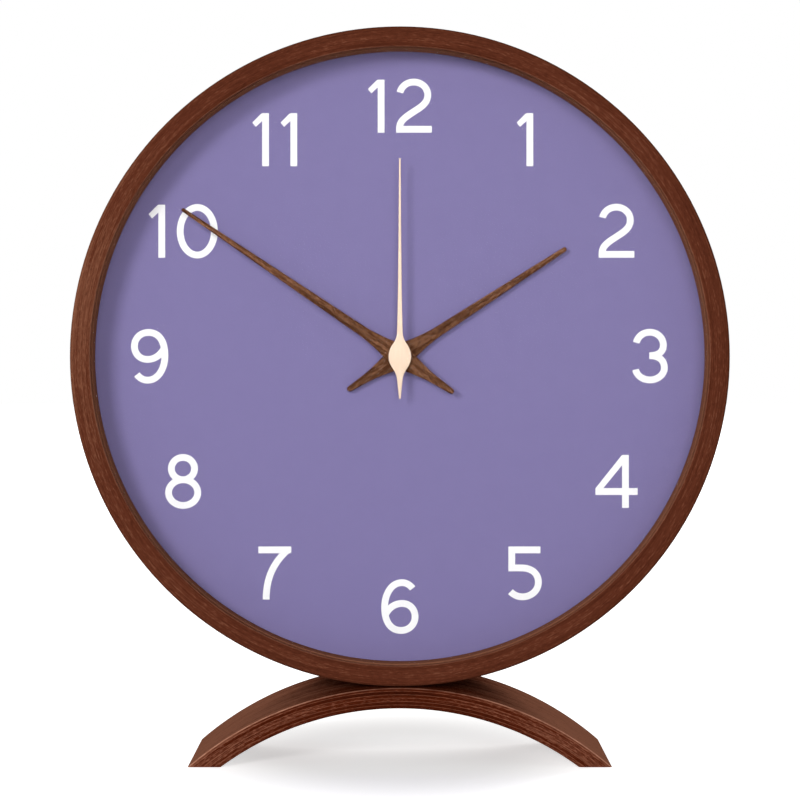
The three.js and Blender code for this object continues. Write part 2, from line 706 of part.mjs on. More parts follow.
// An arbor with a pivot at each end, between the middle plate and the rear cover.
function arbor(axis) {
  const shoulderFront = plateBackY + RUN_GAP;
  const shoulderBack = coverY - RUN_GAP;
  const profile = [
    [0, shoulderFront - PIVOT_LENGTH],
    [PIVOT_RADIUS, shoulderFront - PIVOT_LENGTH],
    [PIVOT_RADIUS, shoulderFront],
    [ARBOR_RADIUS, shoulderFront],
    [ARBOR_RADIUS, shoulderBack],
    [PIVOT_RADIUS, shoulderBack],
    [PIVOT_RADIUS, shoulderBack + PIVOT_LENGTH],
    [0, shoulderBack + PIVOT_LENGTH],
  ];
  return turned(profile, ARBOR_SIDES).translate(axis.x, 0, axis.y);
}

function hourWheel() {
  const pipeEndY = hourHandY - HAND_THICKNESS;
  return shaped(hourWheelGear, {
    join: [rod(hourPipe, pipeEndY, hourLayerY + WHEEL_THICKNESS)],
    cut: [rod(hourPipeBore, pipeEndY - FIT_GAP, hourLayerY + WHEEL_THICKNESS + FIT_GAP)],
  });
}

function centreWheel() {
  const pipeEndY = minuteHandY - HAND_THICKNESS;
  const backY = centreLayerY + WHEEL_THICKNESS;
  return shaped(centreWheelGear, {
    join: [cannonGear, rod(minutePipe, pipeEndY, backY)],
    cut: [rod(minutePipeBore, pipeEndY - FIT_GAP, backY + FIT_GAP)],
  });
}

function motionWheel() {
  const frontY = hourLayerY - RUN_GAP;
  const knobEndY = movementBackY + FIT_GAP + KNOB_HEIGHT / 2;
  return shaped(motionWheelGear, {
    join: [
      motionPinionGear,
      rod(KNOB_SHAFT_RADIUS, frontY, knobEndY, motionAxis),
      rod(PIVOT_RADIUS, chamberY - PIVOT_LENGTH, frontY + FIT_GAP, motionAxis, ARBOR_SIDES),
    ],
  });
}

function settingKnob() {
  const grips = KNOB_GRIPS;
  const points = [];
  for (let i = 0; i < 2 * grips; i += 1) {
    const radius = i % 2 ? KNOB_RADIUS - KNOB_GRIP_DEPTH : KNOB_RADIUS;
    points.push(polar(radius, (i * Math.PI) / grips));
  }
  const frontY = movementBackY + FIT_GAP;
  const socketEndY = frontY + KNOB_HEIGHT / 2 + FIT_GAP;
  const body = plate(new THREE.Shape(points), frontY, frontY + KNOB_HEIGHT);
  const socket = rod(KNOB_SHAFT_RADIUS + PUSH_GAP, frontY - FIT_GAP, socketEndY);
  return shaped(body, { cut: [socket] }).translate(motionAxis.x, 0, motionAxis.y);
}

function thirdWheel() {
  return shaped(thirdWheelGear, { join: [thirdPinionGear, arbor(thirdAxis)] });
}

function secondWheel() {
  const shaftEndY = secondHandY - SECOND_THICKNESS / 2 + PUSH_GAP;
  const shoulderBack = coverY - RUN_GAP;
  const shaft = turned(
    [
      [0, shaftEndY],
      [SECOND_SHAFT, shaftEndY],
      [SECOND_SHAFT, shoulderBack],
      [PIVOT_RADIUS, shoulderBack],
      [PIVOT_RADIUS, shoulderBack + PIVOT_LENGTH],
      [0, shoulderBack + PIVOT_LENGTH],
    ],
    SHAFT_SIDES,
  );
  return shaped(secondWheelGear, { join: [secondPinionGear, shaft] });
}

function fifthWheel() {
  return shaped(fifthWheelGear, { join: [fifthPinionGear, arbor(fifthAxis)] });
}

function rotorPinion() {
  return shaped(rotorPinionGear, { join: [arbor(rotorAxis)] });
}

// Motor and electronics

const magnetY = statorY + STATOR_THICKNESS / 2 - MAGNET_LENGTH / 2;

function rotorMagnet() {
  const ring = tube(ARBOR_RADIUS + PUSH_GAP, MAGNET_RADIUS, magnetY, magnetY + MAGNET_LENGTH);
  return ring.translate(rotorAxis.x, 0, rotorAxis.y);
}

function statorPlate() {
  const top = coilZ + CORE_WIDTH / 2;
  const poleTop = rotorAxis.y + STATOR_MARGIN;
  const shape = new THREE.Shape();
  shape.moveTo(statorLeft, statorBottomZ);
  shape.lineTo(statorRight, statorBottomZ);
  shape.lineTo(statorRight, poleTop);
  shape.lineTo(poleLeft + STATOR_LEG, poleTop);
  shape.lineTo(poleLeft + STATOR_LEG, top);
  shape.lineTo(poleLeft, top);
  shape.lineTo(poleLeft, statorBottomZ + STATOR_LEG);
  shape.lineTo(statorLeft + STATOR_LEG, statorBottomZ + STATOR_LEG);
  shape.lineTo(statorLeft + STATOR_LEG, top);
  shape.lineTo(statorLeft, top);
  shape.holes.push(roundHole(rotorHole, rotorAxis));
  return plate(shape, statorY, statorY + STATOR_THICKNESS);
}

const coreY = statorY + STATOR_THICKNESS + FIT_GAP;
const coreLeft = statorLeft;
const coreRight = poleLeft + STATOR_LEG;
const coilLeft = statorLeft + STATOR_LEG + FIT_GAP;
const coilRight = coreRight - STATOR_LEG - FIT_GAP;
const coilY = coreY + CORE_THICKNESS / 2;
const coilBore = Math.hypot(CORE_WIDTH, CORE_THICKNESS) / 2 + RUN_GAP;
const bobbinRadius = coilBore + BOBBIN_WALL;

function coilCore() {
  const half = CORE_WIDTH / 2;
  return block(coreLeft, coreRight, coreY, coreY + CORE_THICKNESS, coilZ - half, coilZ + half);
}

// Turned about the coil's own axis, which lies along X.
function alongX(profile, sides) {
  return turned(profile, sides).rotateZ(-Math.PI / 2);
}

function coilBobbin() {
  const profile = [
    [coilBore, coilLeft],
    [COIL_OUTER, coilLeft],
    [COIL_OUTER, coilLeft + COIL_FLANGE],
    [bobbinRadius, coilLeft + COIL_FLANGE],
    [bobbinRadius, coilRight - COIL_FLANGE],
    [COIL_OUTER, coilRight - COIL_FLANGE],
    [COIL_OUTER, coilRight],
    [coilBore, coilRight],
    [coilBore, coilLeft],
  ];
  return alongX(profile, SHAFT_SIDES).translate(0, coilY, coilZ);
}

function coilWinding() {
  const inner = bobbinRadius + PUSH_GAP;
  const outer = COIL_OUTER - FLANGE_RISE;
  const left = coilLeft + COIL_FLANGE + PUSH_GAP;
  const right = coilRight - COIL_FLANGE - PUSH_GAP;
  const profile = [
    [inner, left],
    [outer, left],
    [outer, right],
    [inner, right],
    [inner, left],
  ];
  return alongX(profile, SHAFT_SIDES).translate(0, coilY, coilZ);
}

function circuitBoard() {
  return block(boardLeft, boardRight, boardY, boardY + BOARD_THICKNESS, boardBottomZ, boardTopZ);
}

function driverChip() {
  const y = boardY + BOARD_THICKNESS + FIT_GAP;
  const x = boardLeft + BOARD_INSET;
  const z = boardBottomZ + BOARD_INSET;
  return block(x, x + CHIP_SIZE, y, y + CHIP_HEIGHT, z, z + CHIP_SIZE);
}

function quartzCrystal() {
  const y = boardY + BOARD_THICKNESS + FIT_GAP + CRYSTAL_RADIUS;
  const right = boardRight - BOARD_INSET;
  const profile = [
    [0, right - CRYSTAL_LENGTH],
    [CRYSTAL_RADIUS, right - CRYSTAL_LENGTH],
    [CRYSTAL_RADIUS, right],
    [0, right],
  ];
  return alongX(profile, SHAFT_SIDES).translate(0, y, boardBottomZ + BOARD_INSET + CRYSTAL_RADIUS);
}

// Battery and contacts

const cellHalf = (CELL_LENGTH + CELL_NUB_LENGTH) / 2;

function batteryCell() {
  const bodyEnd = cellHalf - CELL_NUB_LENGTH;
  const profile = [
    [0, -cellHalf],
    [CELL_RADIUS - CELL_EDGE, -cellHalf],
    [CELL_RADIUS, -cellHalf + CELL_EDGE],
    [CELL_RADIUS, bodyEnd - CELL_EDGE],
    [CELL_RADIUS - CELL_EDGE, bodyEnd],
    [CELL_NUB_RADIUS, bodyEnd],
    [CELL_NUB_RADIUS, cellHalf],
    [0, cellHalf],
  ];
  return alongX(profile, CELL_SIDES).translate(0, cellY, cellZ);
}

// A leaf against an end wall, bowed towards the cell; drawn for the right end, then turned.
function contactLeaf(turn) {
  const back = chamberHalf - FIT_GAP;
  const face = back - CONTACT_THICKNESS;
  const touch = cellHalf + FIT_GAP;
  const half = CONTACT_HEIGHT / 2;
  const shape = new THREE.Shape();
  shape.moveTo(back, -half);
  shape.lineTo(back, half);
  shape.lineTo(face, half);
  shape.quadraticCurveTo(2 * touch - face, 0, face, -half);
  const leaf = new THREE.ExtrudeGeometry(shape, {
    depth: CONTACT_WIDTH,
    bevelEnabled: false,
    curveSegments: LEAF_STEPS,
  });
  leaf.translate(0, 0, -CONTACT_WIDTH / 2).rotateY(turn);
  return leaf.translate(0, cellY, cellZ);
}

// Assembly

function piece(name, geometry, material) {
  const mesh = new THREE.Mesh(geometry, material);
  mesh.name = name;
  return mesh;
}

function turnedHand(name, geometry, material, angle) {
  const hand = piece(name, geometry, material);
  hand.rotation.y = angle;
  return hand;
}

const base = new THREE.Group();
base.add(piece("base_arch", baseArch(), walnut));
["front", "back"].forEach((end, i) => {
  const geometry = facingUp(screw(BASE_SCREW), 0, baseScrewDepths[i], archUnderZ);
  base.add(piece(`base_screw_${end}`, geometry, steel));
});

const head = new THREE.Group();
head.position.z = dialHeight;
head.add(
  piece("frame_ring", frameRing(), walnut),
  piece("front_glass", frontGlass(), clearGlass),
  piece("spacer_ring", spacerRing(), walnutStrip),
  piece("dial_plate", dialPlate(), purplePaint),
  piece("retainer_ring", retainerRing(), walnutStrip),
  piece("back_panel", backPanel(), fibreboard),
);
panelScrewPlaces.forEach((place, i) => {
  const geometry = facingFront(screw(PANEL_SCREW), place.x, panelBackY, place.y);
  head.add(piece(`back_panel_screw_${i + 1}`, geometry, steel));
});

const hourShape = handShape(HOUR_REACH, HOUR_TIP_HALF, HOUR_TAIL);
const minuteShape = handShape(MINUTE_REACH, MINUTE_TIP_HALF, MINUTE_TAIL);
head.add(
  turnedHand("hour_hand", woodenHand(hourShape, hourPipe, hourHandY), handWood, HOUR_ANGLE),
  turnedHand("minute_hand", woodenHand(minuteShape, minutePipe, minuteHandY), handWood, MINUTE_ANGLE),
  piece("second_hand", secondHand(), champagne),
);

const movement = new THREE.Group();
movement.add(
  piece("movement_case", movementCase(), blackPlastic),
  piece("movement_cover", movementCover(), blackPlastic),
  piece("middle_plate", middlePlate(), whitePlastic),
  piece("hour_wheel", hourWheel(), whitePlastic),
  piece("centre_wheel", centreWheel(), whitePlastic),
  piece("motion_wheel", motionWheel(), whitePlastic),
  piece("setting_knob", settingKnob(), blackPlastic),
  piece("third_wheel", thirdWheel(), whitePlastic),
  piece("second_wheel", secondWheel(), whitePlastic),
  piece("fifth_wheel", fifthWheel(), whitePlastic),
  piece("rotor_pinion", rotorPinion(), whitePlastic),
  piece("rotor_magnet", rotorMagnet(), magnetGrey),
  piece("stator_plate", statorPlate(), steel),
  piece("coil_core", coilCore(), steel),
  piece("coil_bobbin", coilBobbin(), whitePlastic),
  piece("coil_winding", coilWinding(), copper),
  piece("circuit_board", circuitBoard(), boardGreen),
  piece("driver_chip", driverChip(), blackPlastic),
  piece("quartz_crystal", quartzCrystal(), steel),
  piece("battery_cell", batteryCell(), cellWrap),
  piece("contact_positive", contactLeaf(0), steel),
  piece("contact_negative", contactLeaf(Math.PI), steel),
);
["left", "right"].forEach((side, i) => {
  const x = i ? LUG_SCREW_REACH : -LUG_SCREW_REACH;
  const geometry = facingFront(screw(MOVEMENT_SCREW), x, movementY + LUG_THICKNESS, 0);
  movement.add(piece(`movement_screw_${side}`, geometry, steel));
});
head.add(movement);

const clock = new THREE.Group();
clock.add(base, head);

export default clock;
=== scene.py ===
"""The looks of a round wooden table clock on a bent-wood arch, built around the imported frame.

Metres, +Z up, the dial faces -Y and the floor is z = 0.
"""

import logging
import math
from collections.abc import Callable, Iterable, Sequence
from dataclasses import dataclass, field
from enum import Enum

import bmesh
import bpy
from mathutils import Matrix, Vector

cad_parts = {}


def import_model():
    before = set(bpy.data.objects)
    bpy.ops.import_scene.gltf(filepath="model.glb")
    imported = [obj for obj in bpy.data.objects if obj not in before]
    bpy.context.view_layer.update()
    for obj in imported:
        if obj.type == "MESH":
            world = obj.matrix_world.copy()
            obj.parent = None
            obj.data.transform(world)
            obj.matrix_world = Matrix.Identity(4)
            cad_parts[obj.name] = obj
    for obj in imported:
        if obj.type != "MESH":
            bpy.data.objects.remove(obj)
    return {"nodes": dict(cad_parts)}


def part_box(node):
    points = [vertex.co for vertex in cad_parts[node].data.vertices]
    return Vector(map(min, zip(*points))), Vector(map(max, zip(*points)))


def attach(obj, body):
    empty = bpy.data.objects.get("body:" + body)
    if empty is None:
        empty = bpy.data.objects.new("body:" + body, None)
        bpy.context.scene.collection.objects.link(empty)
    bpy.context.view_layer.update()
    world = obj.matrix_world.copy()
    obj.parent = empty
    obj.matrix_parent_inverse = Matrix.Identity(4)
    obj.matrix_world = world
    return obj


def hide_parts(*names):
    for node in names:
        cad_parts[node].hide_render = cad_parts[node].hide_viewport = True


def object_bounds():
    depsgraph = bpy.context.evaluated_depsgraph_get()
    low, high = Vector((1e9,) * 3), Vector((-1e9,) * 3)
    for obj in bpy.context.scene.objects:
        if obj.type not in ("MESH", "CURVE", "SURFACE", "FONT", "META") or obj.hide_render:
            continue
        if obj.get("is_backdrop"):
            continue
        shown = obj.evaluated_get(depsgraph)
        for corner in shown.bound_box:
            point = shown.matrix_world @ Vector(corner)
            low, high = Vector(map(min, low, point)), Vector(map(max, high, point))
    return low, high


LOG = logging.getLogger("clock")
MM = 0.001
SMOOTH_ANGLE = math.radians(35)
WHITE = (1.0, 1.0, 1.0, 1.0)

Point = tuple[float, float]
Corner = tuple[float, float, float]
Colour = tuple[float, float, float, float]
Mesh = bmesh.types.BMesh
Piece = bpy.types.Object
Group = bpy.types.ShaderNodeTree
Socket = bpy.types.NodeSocket
Sockets = Sequence[Socket]
Feed = float | tuple | Socket
Feeds = dict[str | int, Feed]


class Body(Enum):
    """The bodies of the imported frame."""

    CLOCK = "clock_body"
    MINUTE = "minute"
    HOUR = "hour"
    SECOND = "second"
    SETTING = "setting"
    BATTERY = "battery"


class Boolean(Enum):
    """What a tool does to the piece it meets."""

    JOIN = "UNION"
    CUT = "DIFFERENCE"


class MarkKind(Enum):
    """How the points of a numeral's mark are read."""

    STROKE = "open centre line"
    LOOP = "closed centre line"
    PATCH = "outline"


def srgb(*values: int) -> Colour:
    """A linear opaque colour from display values of 0 to 255."""
    shares = [value / 255 for value in values]
    return *(s / 12.92 if s <= 0.04045 else ((s + 0.055) / 1.055) ** 2.4 for s in shares), 1.0


# Outlines


def arc(centre: Point, radii: Point, start: float, end: float, steps: int = 24) -> list[Point]:
    """Points along an elliptic arc, between angles in degrees, counter-clockwise from the right."""
    angles = [math.radians(start + (end - start) * i / steps) for i in range(steps + 1)]
    return [(centre[0] + radii[0] * math.cos(a), centre[1] + radii[1] * math.sin(a)) for a in angles]


def bezier(*controls: Point, steps: int = 14) -> list[Point]:
    """Points along a Bezier curve of any degree.

    Args:
        controls: The control points, ends included.
        steps: Segments along the curve.

    Returns:
        The points, both ends included.
    """
    curve = []
    for i in range(steps + 1):
        row = [Vector(point) for point in controls]
        while len(row) > 1:
            row = [first.lerp(second, i / steps) for first, second in zip(row, row[1:])]
        curve.append(row[0].to_tuple())
    return curve


def chain(*parts: Sequence[Point]) -> list[Point]:
    """Joins runs of points end to end, without repeated points.

    Args:
        parts: The runs, in order.

    Returns:
        One run of points.
    """
    points: list[Point] = []
    for point in (point for part in parts for point in part):
        if not points or (Vector(point) - Vector(points[-1])).length > 1e-7:
            points.append(tuple(point))
    return points


def filleted(corners: Sequence[Corner], steps: int = 6) -> list[Point]:
    """A closed outline with rounded corners.

    Args:
        corners: Corner points, each with its radius.
        steps: Segments in each rounded corner.

    Returns:
        The outline's points.
    """
    points: list[Point] = []
    for i, (x, y, radius) in enumerate(corners):
        here = Vector((x, y))
        back = (Vector(corners[i - 1][:2]) - here).normalized()
        ahead = (Vector(corners[(i + 1) % len(corners)][:2]) - here).normalized()
        if radius == 0:
            points.append((x, y))
            continue
        half = back.angle(ahead) / 2
        reach = radius / math.tan(half)
        centre = here + (back + ahead).normalized() * (radius / math.sin(half))
        first, last = here + back * reach - centre, here + ahead * reach - centre
        spokes = [first.slerp(last, step / steps).normalized() for step in range(steps + 1)]
        points += [(centre + spoke * radius).to_tuple() for spoke in spokes]
    return points


def block(near: float, far: float, front: float, back: float, *rounding: float) -> list[Corner]:
    """The corners of a rectangle.

    Args:
        near: Where it starts in the first direction.
        far: Where it ends there.
        front: Where it starts in the second direction.
        back: Where it ends there.
        rounding: One radius for all the corners, or one for each; none for sharp corners.

    Returns:
        The corners in order, each with its radius.
    """
    radii = rounding if len(rounding) == 4 else (rounding or (0.0,)) * 4
    places = [(near, front), (far, front), (far, back), (near, back)]
    return [(*place, radius) for place, radius in zip(places, radii)]


def cross(centre: Point, far: float, near: float) -> list[Point]:
    """The outline of an upright cross.

    Args:
        centre: Its middle.
        far: Reach of an arm.
        near: Half the width of an arm.

    Returns:
        The outline's points.
    """
    arm = [(far, -near), (far, near), (near, near)]
    points: list[Point] = []
    for _ in range(4):
        points += [(centre[0] + x, centre[1] + y) for x, y in arm]
        arm = [(-y, x) for x, y in arm]
    return points


def mirrored(right: Sequence[Point]) -> list[Point]:
    """A closed outline from its right half, which starts and ends on the axis."""
    return [*right, *((-x, z) for x, z in right[-2:0:-1])]


def mitred(points: Sequence[Point], distance: float, closed: bool = True) -> list[Point]:
    """A run of points moved to its left, with mitred corners.

    Args:
        points: The run.
        distance: How far it moves.
        closed: Whether the last point joins the first.

    Returns:
        The moved points, as many as before.
    """
    count = len(points)
    moved = []
    for i, point in enumerate(points):
        here = Vector(point)
        before = Vector(points[i - 1]) if closed or i else None
        after = Vector(points[(i + 1) % count]) if closed or i < count - 1 else None
        legs = [here - before] if before is not None else []
        legs += [after - here] if after is not None else []
        normals = [Vector((-leg.y, leg.x)).normalized() for leg in legs]
        middle = sum(normals, Vector((0, 0))).normalized()
        moved.append((here + middle * (distance / middle.dot(normals[0]))).to_tuple())
    return moved


# Meshes


def to_object(name: str, mesh: Mesh) -> Piece:
    """Turns a built mesh into an object of the scene.

    Args:
        name: The object's name.
        mesh: The built mesh, which is freed.

    Returns:
        The object.
    """
    bmesh.ops.recalc_face_normals(mesh, faces=mesh.faces)
    data = bpy.data.meshes.new(name)
    mesh.to_mesh(data)
    mesh.free()
    shade(data)
    piece = bpy.data.objects.new(name, data)
    bpy.context.scene.collection.objects.link(piece)
    return piece


def shade(data: bpy.types.Mesh) -> None:
    """Shades a mesh smooth, with its sharper edges kept sharp."""
    data.shade_smooth()
    data.set_sharp_from_angle(angle=SMOOTH_ANGLE)


def skin(mesh: Mesh, loops: Sequence[Sequence[bmesh.types.BMVert]]) -> None:
    """Faces between neighbouring closed loops of vertices; a loop of one vertex is a pole.

    Args:
        mesh: The mesh that holds the loops.
        loops: The loops, in order.
    """
    for near, far in zip(loops, loops[1:]):
        for i in range(max(len(near), len(far))):
            ring = [near[i % len(near)], near[(i + 1) % len(near)]]
            ring += [far[(i + 1) % len(far)], far[i % len(far)]]
            corners = list(dict.fromkeys(ring))
            if len(corners) > 2:
                mesh.faces.new(corners)


def lathe(profile: Sequence[Point], sides: int) -> Mesh:
    """Turns a closed profile about the Y axis.

    Args:
        profile: Points of radius and depth; a radius of 0 lies on the axis.
        sides: Facets round the axis.

    Returns:
        The mesh.
    """
    mesh = bmesh.new()
    angles = [2 * math.pi * i / sides for i in range(sides)]
    loops = []
    for radius, depth in profile:
        around = angles if radius > 0 else angles[:1]
        loops.append([mesh.verts.new((radius * math.sin(a), depth, radius * math.cos(a))) for a in around])
    skin(mesh, [*loops, loops[0]])
    return mesh


def turned(
    name: str, corners: Sequence[Corner], sides: int, steps: int = 6, place: Iterable[float] = (0, 0, 0)
) -> Piece:
    """A piece turned about an axis along Y.

    Args:
        name: The piece's name.
        corners: Corners of its section as radius, depth and rounding.
        sides: Facets round it.
        steps: Segments in each rounded corner.
        place: Where its axis stands and its depth starts.

    Returns:
        The piece.
    """
    piece = to_object(name, lathe(filleted(corners, steps), sides))
    piece.location = place
    return piece


def plate(outline: Sequence[Point], front: float, back: float, edge: float = 0.0) -> Mesh:
    """A flat plate across Y with rounded rims.

    Args:
        outline: Points of x and z, counter-clockwise seen from the front.
        front: Depth of the front face.
        back: Depth of the back face.
        edge: Radius of the rims.

    Returns:
        The mesh.
    """
    turns = [math.radians(angle) for angle in (0, 30, 60, 90)] if edge else [0.0]
    layers = [(edge * (1 - math.sin(a)), edge * (1 - math.cos(a))) for a in turns]
    stack = [(inset, front + drop) for inset, drop in layers]
    stack += [(inset, back - drop) for inset, drop in reversed(layers)]
    mesh = bmesh.new()
    loops = []
    for inset, depth in stack:
        rim = mitred(outline, inset)
        loops.append([mesh.verts.new((x, depth, z)) for x, z in rim])
    skin(mesh, loops)
    mesh.faces.new(loops[0])
    mesh.faces.new(loops[-1])
    return mesh


def ribbon(path: Sequence[Point], width: float, front: float, back: float, closed: bool) -> Mesh:
    """A flat stroke of even width along a centre line.

    Args:
        path: The centre line's points of x and z.
        width: Width of the stroke.
        front: Depth of the front face.
        back: Depth of the back face.
        closed: Whether the line closes on itself.

    Returns:
        The mesh.
    """
    mesh = bmesh.new()
    sides = [mitred(path, half, closed) for half in (width / 2, -width / 2)]
    corners = [(sides[0], front), (sides[1], front), (sides[1], back), (sides[0], back)]
    sections = [
        [mesh.verts.new((side[i][0], depth, side[i][1])) for side, depth in corners] for i in range(len(path))
    ]
    skin(mesh, [*sections, sections[0]] if closed else sections)
    if not closed:
        mesh.faces.new(sections[0])
        mesh.faces.new(sections[-1])
    return mesh


def weld(data: bpy.types.Mesh, span: float = 0.001 * MM) -> None:
    """Closes the cracks and takes out the slivers that a cut can leave.

    Args:
        data: The mesh.
        span: The longest edge that is taken out.
    """
    mesh = bmesh.new()
    mesh.from_mesh(data)
    bmesh.ops.remove_doubles(mesh, verts=mesh.verts, dist=span)
    bmesh.ops.dissolve_degenerate(mesh, edges=mesh.edges, dist=span)
    bmesh.ops.holes_fill(mesh, edges=[edge for edge in mesh.edges if edge.is_boundary], sides=8)
    bmesh.ops.recalc_face_normals(mesh, faces=mesh.faces)
    mesh.to_mesh(data)
    mesh.free()


def combine(piece: Piece, tools: Sequence[Piece], how: Boolean) -> Piece:
    """Joins tools to a piece or cuts them out of it, and removes the tools.

    Args:
        piece: The piece that stays.
        tools: What is joined or cut, if anything.
        how: Join or cut.

    Returns:
        The piece, with its new mesh.
    """
    if not tools:
        return piece
    for tool in tools:
        modifier = piece.modifiers.new(tool.name, "BOOLEAN")
        modifier.object = tool
        modifier.operation = how.value
        modifier.solver = "EXACT"
    graph = bpy.context.evaluated_depsgraph_get()
    made = bpy.data.meshes.new_from_object(piece.evaluated_get(graph))
    weld(made)
    piece.modifiers.clear()
    worn, piece.data = piece.data, made
    made.name = piece.name
    bpy.data.meshes.remove(worn)
    for tool in tools:
        bpy.data.objects.remove(tool)
    shade(made)
    return piece


# Node trees


class NodeSheet:
    """Adds nodes to one tree and wires them."""

    def __init__(self, tree: bpy.types.NodeTree) -> None:
        """Starts on a tree."""
        self.tree = tree

    def add(self, kind: str, feeds: Feeds | None = None, **settings: object) -> bpy.types.Node:
        """Adds a node.

        Args:
            kind: The node's type.
            feeds: Values or sockets for its inputs, by name or number.
            settings: Its own settings.

        Returns:
            The node.
        """
        node = self.tree.nodes.new(kind)
        for name, value in settings.items():
            setattr(node, name, value)
        for key, value in (feeds or {}).items():
            if isinstance(value, Socket):
                self.tree.links.new(value, node.inputs[key])
            else:
                node.inputs[key].default_value = value
        return node

    def math(self, operation: str, *values: Feed, clamp: bool = False) -> Socket:
        """The result of a sum on one, two or three values."""
        node = self.add("ShaderNodeMath", dict(enumerate(values)), operation=operation, use_clamp=clamp)
        return node.outputs[0]

    def vector(self, operation: str, *values: Feed, output: int = 0) -> Socket:
        """The result of a vector sum; output 1 is a plain value."""
        return self.add("ShaderNodeVectorMath", dict(enumerate(values)), operation=operation).outputs[output]

    def xyz(self, x: Feed, y: Feed, z: Feed) -> Socket:
        """A vector from three values."""
        return self.add("ShaderNodeCombineXYZ", {0: x, 1: y, 2: z}).outputs[0]

    def split(self, vector: Feed) -> Sockets:
        """A vector's three values."""
        return self.add("ShaderNodeSeparateXYZ", {0: vector}).outputs

    def spread(self, value: Feed, low: Feed, high: Feed, start: Feed = 0.0, end: Feed = 1.0) -> Socket:
        """A value carried smoothly from one range, low to high, to another, start to end."""
        feeds = {"Value": value, "From Min": low, "From Max": high, "To Min": start, "To Max": end}
        return self.add("ShaderNodeMapRange", feeds, interpolation_type="SMOOTHSTEP").outputs["Result"]

    def mix(self, share: Feed, first: Feed, second: Feed) -> Socket:
        """Two colours mixed by a share."""
        return self.add("ShaderNodeMix", {0: share, 6: first, 7: second}, data_type="RGBA").outputs[2]

    def noise(self, vector: Feed, scale: Feed = 1.0, detail: float = 3, drift: Feed | None = None) -> Socket:
        """Noise from 0 to 1.

        Args:
            vector: Where it is read.
            scale: How fine it is.
            detail: How many finer layers it has.
            drift: A fourth coordinate, if any.

        Returns:
            The noise value.
        """
        feeds = {"Vector": vector, "Scale": scale, "Detail": detail, "Roughness": 0.55}
        if drift is None:
            return self.add("ShaderNodeTexNoise", feeds).outputs[0]
        return self.add("ShaderNodeTexNoise", {**feeds, "W": drift}, noise_dimensions="4D").outputs[0]

    def place(self) -> Socket:
        """Where a point lies on its own object."""
        return self.add("ShaderNodeTexCoord").outputs["Object"]

    def use(self, group: Group, feeds: Feeds) -> Sockets:
        """Places a node group and gives its outputs."""
        return self.add("ShaderNodeGroup", feeds, node_tree=group).outputs


Wiring = Callable[[NodeSheet, Sockets], Sockets]
VALUE, VECTOR, COLOUR = "NodeSocketFloat", "NodeSocketVector", "NodeSocketColor"


def node_group(name: str, inputs: dict[str, str], outputs: dict[str, str], wire: Wiring) -> Group:
    """Builds a shader node group, or gives the one that is there already.

    Args:
        name: The group's name.
        inputs: Socket types by name.
        outputs: Socket types by name.
        wire: Makes the inside from the input sockets and gives the output sockets.

    Returns:
        The group.
    """
    known = bpy.data.node_groups.get(name)
    if known:
        return known
    group = bpy.data.node_groups.new(name, "ShaderNodeTree")
    for side, sockets in (("INPUT", inputs), ("OUTPUT", outputs)):
        for label, kind in sockets.items():
            group.interface.new_socket(name=label, in_out=side, socket_type=kind)
    sheet = NodeSheet(group)
    results = wire(sheet, sheet.add("NodeGroupInput").outputs)
    sheet.add("NodeGroupOutput", dict(enumerate(results)))
    return group


def bent_grain() -> Group:
    """Grain that follows a bend about Y: streaks, flecks, broad tone, glue seams and the tone of each ply."""

    def wire(sheet: NodeSheet, given: Sockets) -> Sockets:
        """The inside of the group."""
        place, run, width, ply, outside = given[:5]
        x, depth, z = sheet.split(place)
        flat = sheet.xyz(x, 0.0, z)
        radius = sheet.vector("LENGTH", flat, output=1)
        heading = sheet.vector("NORMALIZE", flat)
        across = sheet.math("DIVIDE", radius, width)
        aside = sheet.math("DIVIDE", depth, width)

        def streaks(stretch: float, coarse: float, detail: float) -> Socket:
            """Noise drawn out along the bend."""
            along = sheet.add("ShaderNodeVectorMath", {0: heading, 3: sheet.math("MULTIPLY", run, stretch)})
            along.operation = "SCALE"
            lane = sheet.xyz(0.0, sheet.math("DIVIDE", across, coarse), 0.0)
            point = sheet.vector("ADD", along.outputs[0], lane)
            return sheet.noise(point, detail=detail, drift=sheet.math("DIVIDE", aside, coarse))

        fine = streaks(stretch=1.0, coarse=1.0, detail=4)
        fleck = streaks(stretch=12.0, coarse=0.7, detail=1)
        broad = streaks(stretch=0.3, coarse=9.0, detail=2)
        wander = sheet.math("MULTIPLY", streaks(stretch=0.5, coarse=4.0, detail=1), 0.2)
        layer = sheet.math("ADD", sheet.math("DIVIDE", sheet.math("SUBTRACT", outside, radius), ply), wander)
        nearest = sheet.math("ABSOLUTE", sheet.math("SUBTRACT", sheet.math("FRACT", layer), 0.5))
        broken = sheet.spread(fleck, 0.35, 0.6, 0.55, 1.0)
        seam = sheet.math("MULTIPLY", sheet.spread(nearest, 0.36, 0.47), broken)
        index = sheet.math("FLOOR", layer)
        strip = sheet.add("ShaderNodeTexWhiteNoise", {"W": index}, noise_dimensions="1D").outputs["Value"]
        return fine, fleck, broad, seam, strip

    inputs = {"Place": VECTOR, "Run": VALUE, "Width": VALUE, "Ply": VALUE, "Outside": VALUE}
    outputs = {"Streak": VALUE, "Fleck": VALUE, "Broad": VALUE, "Seam": VALUE, "Strip": VALUE}
    return node_group("bent_grain", inputs, outputs, wire)


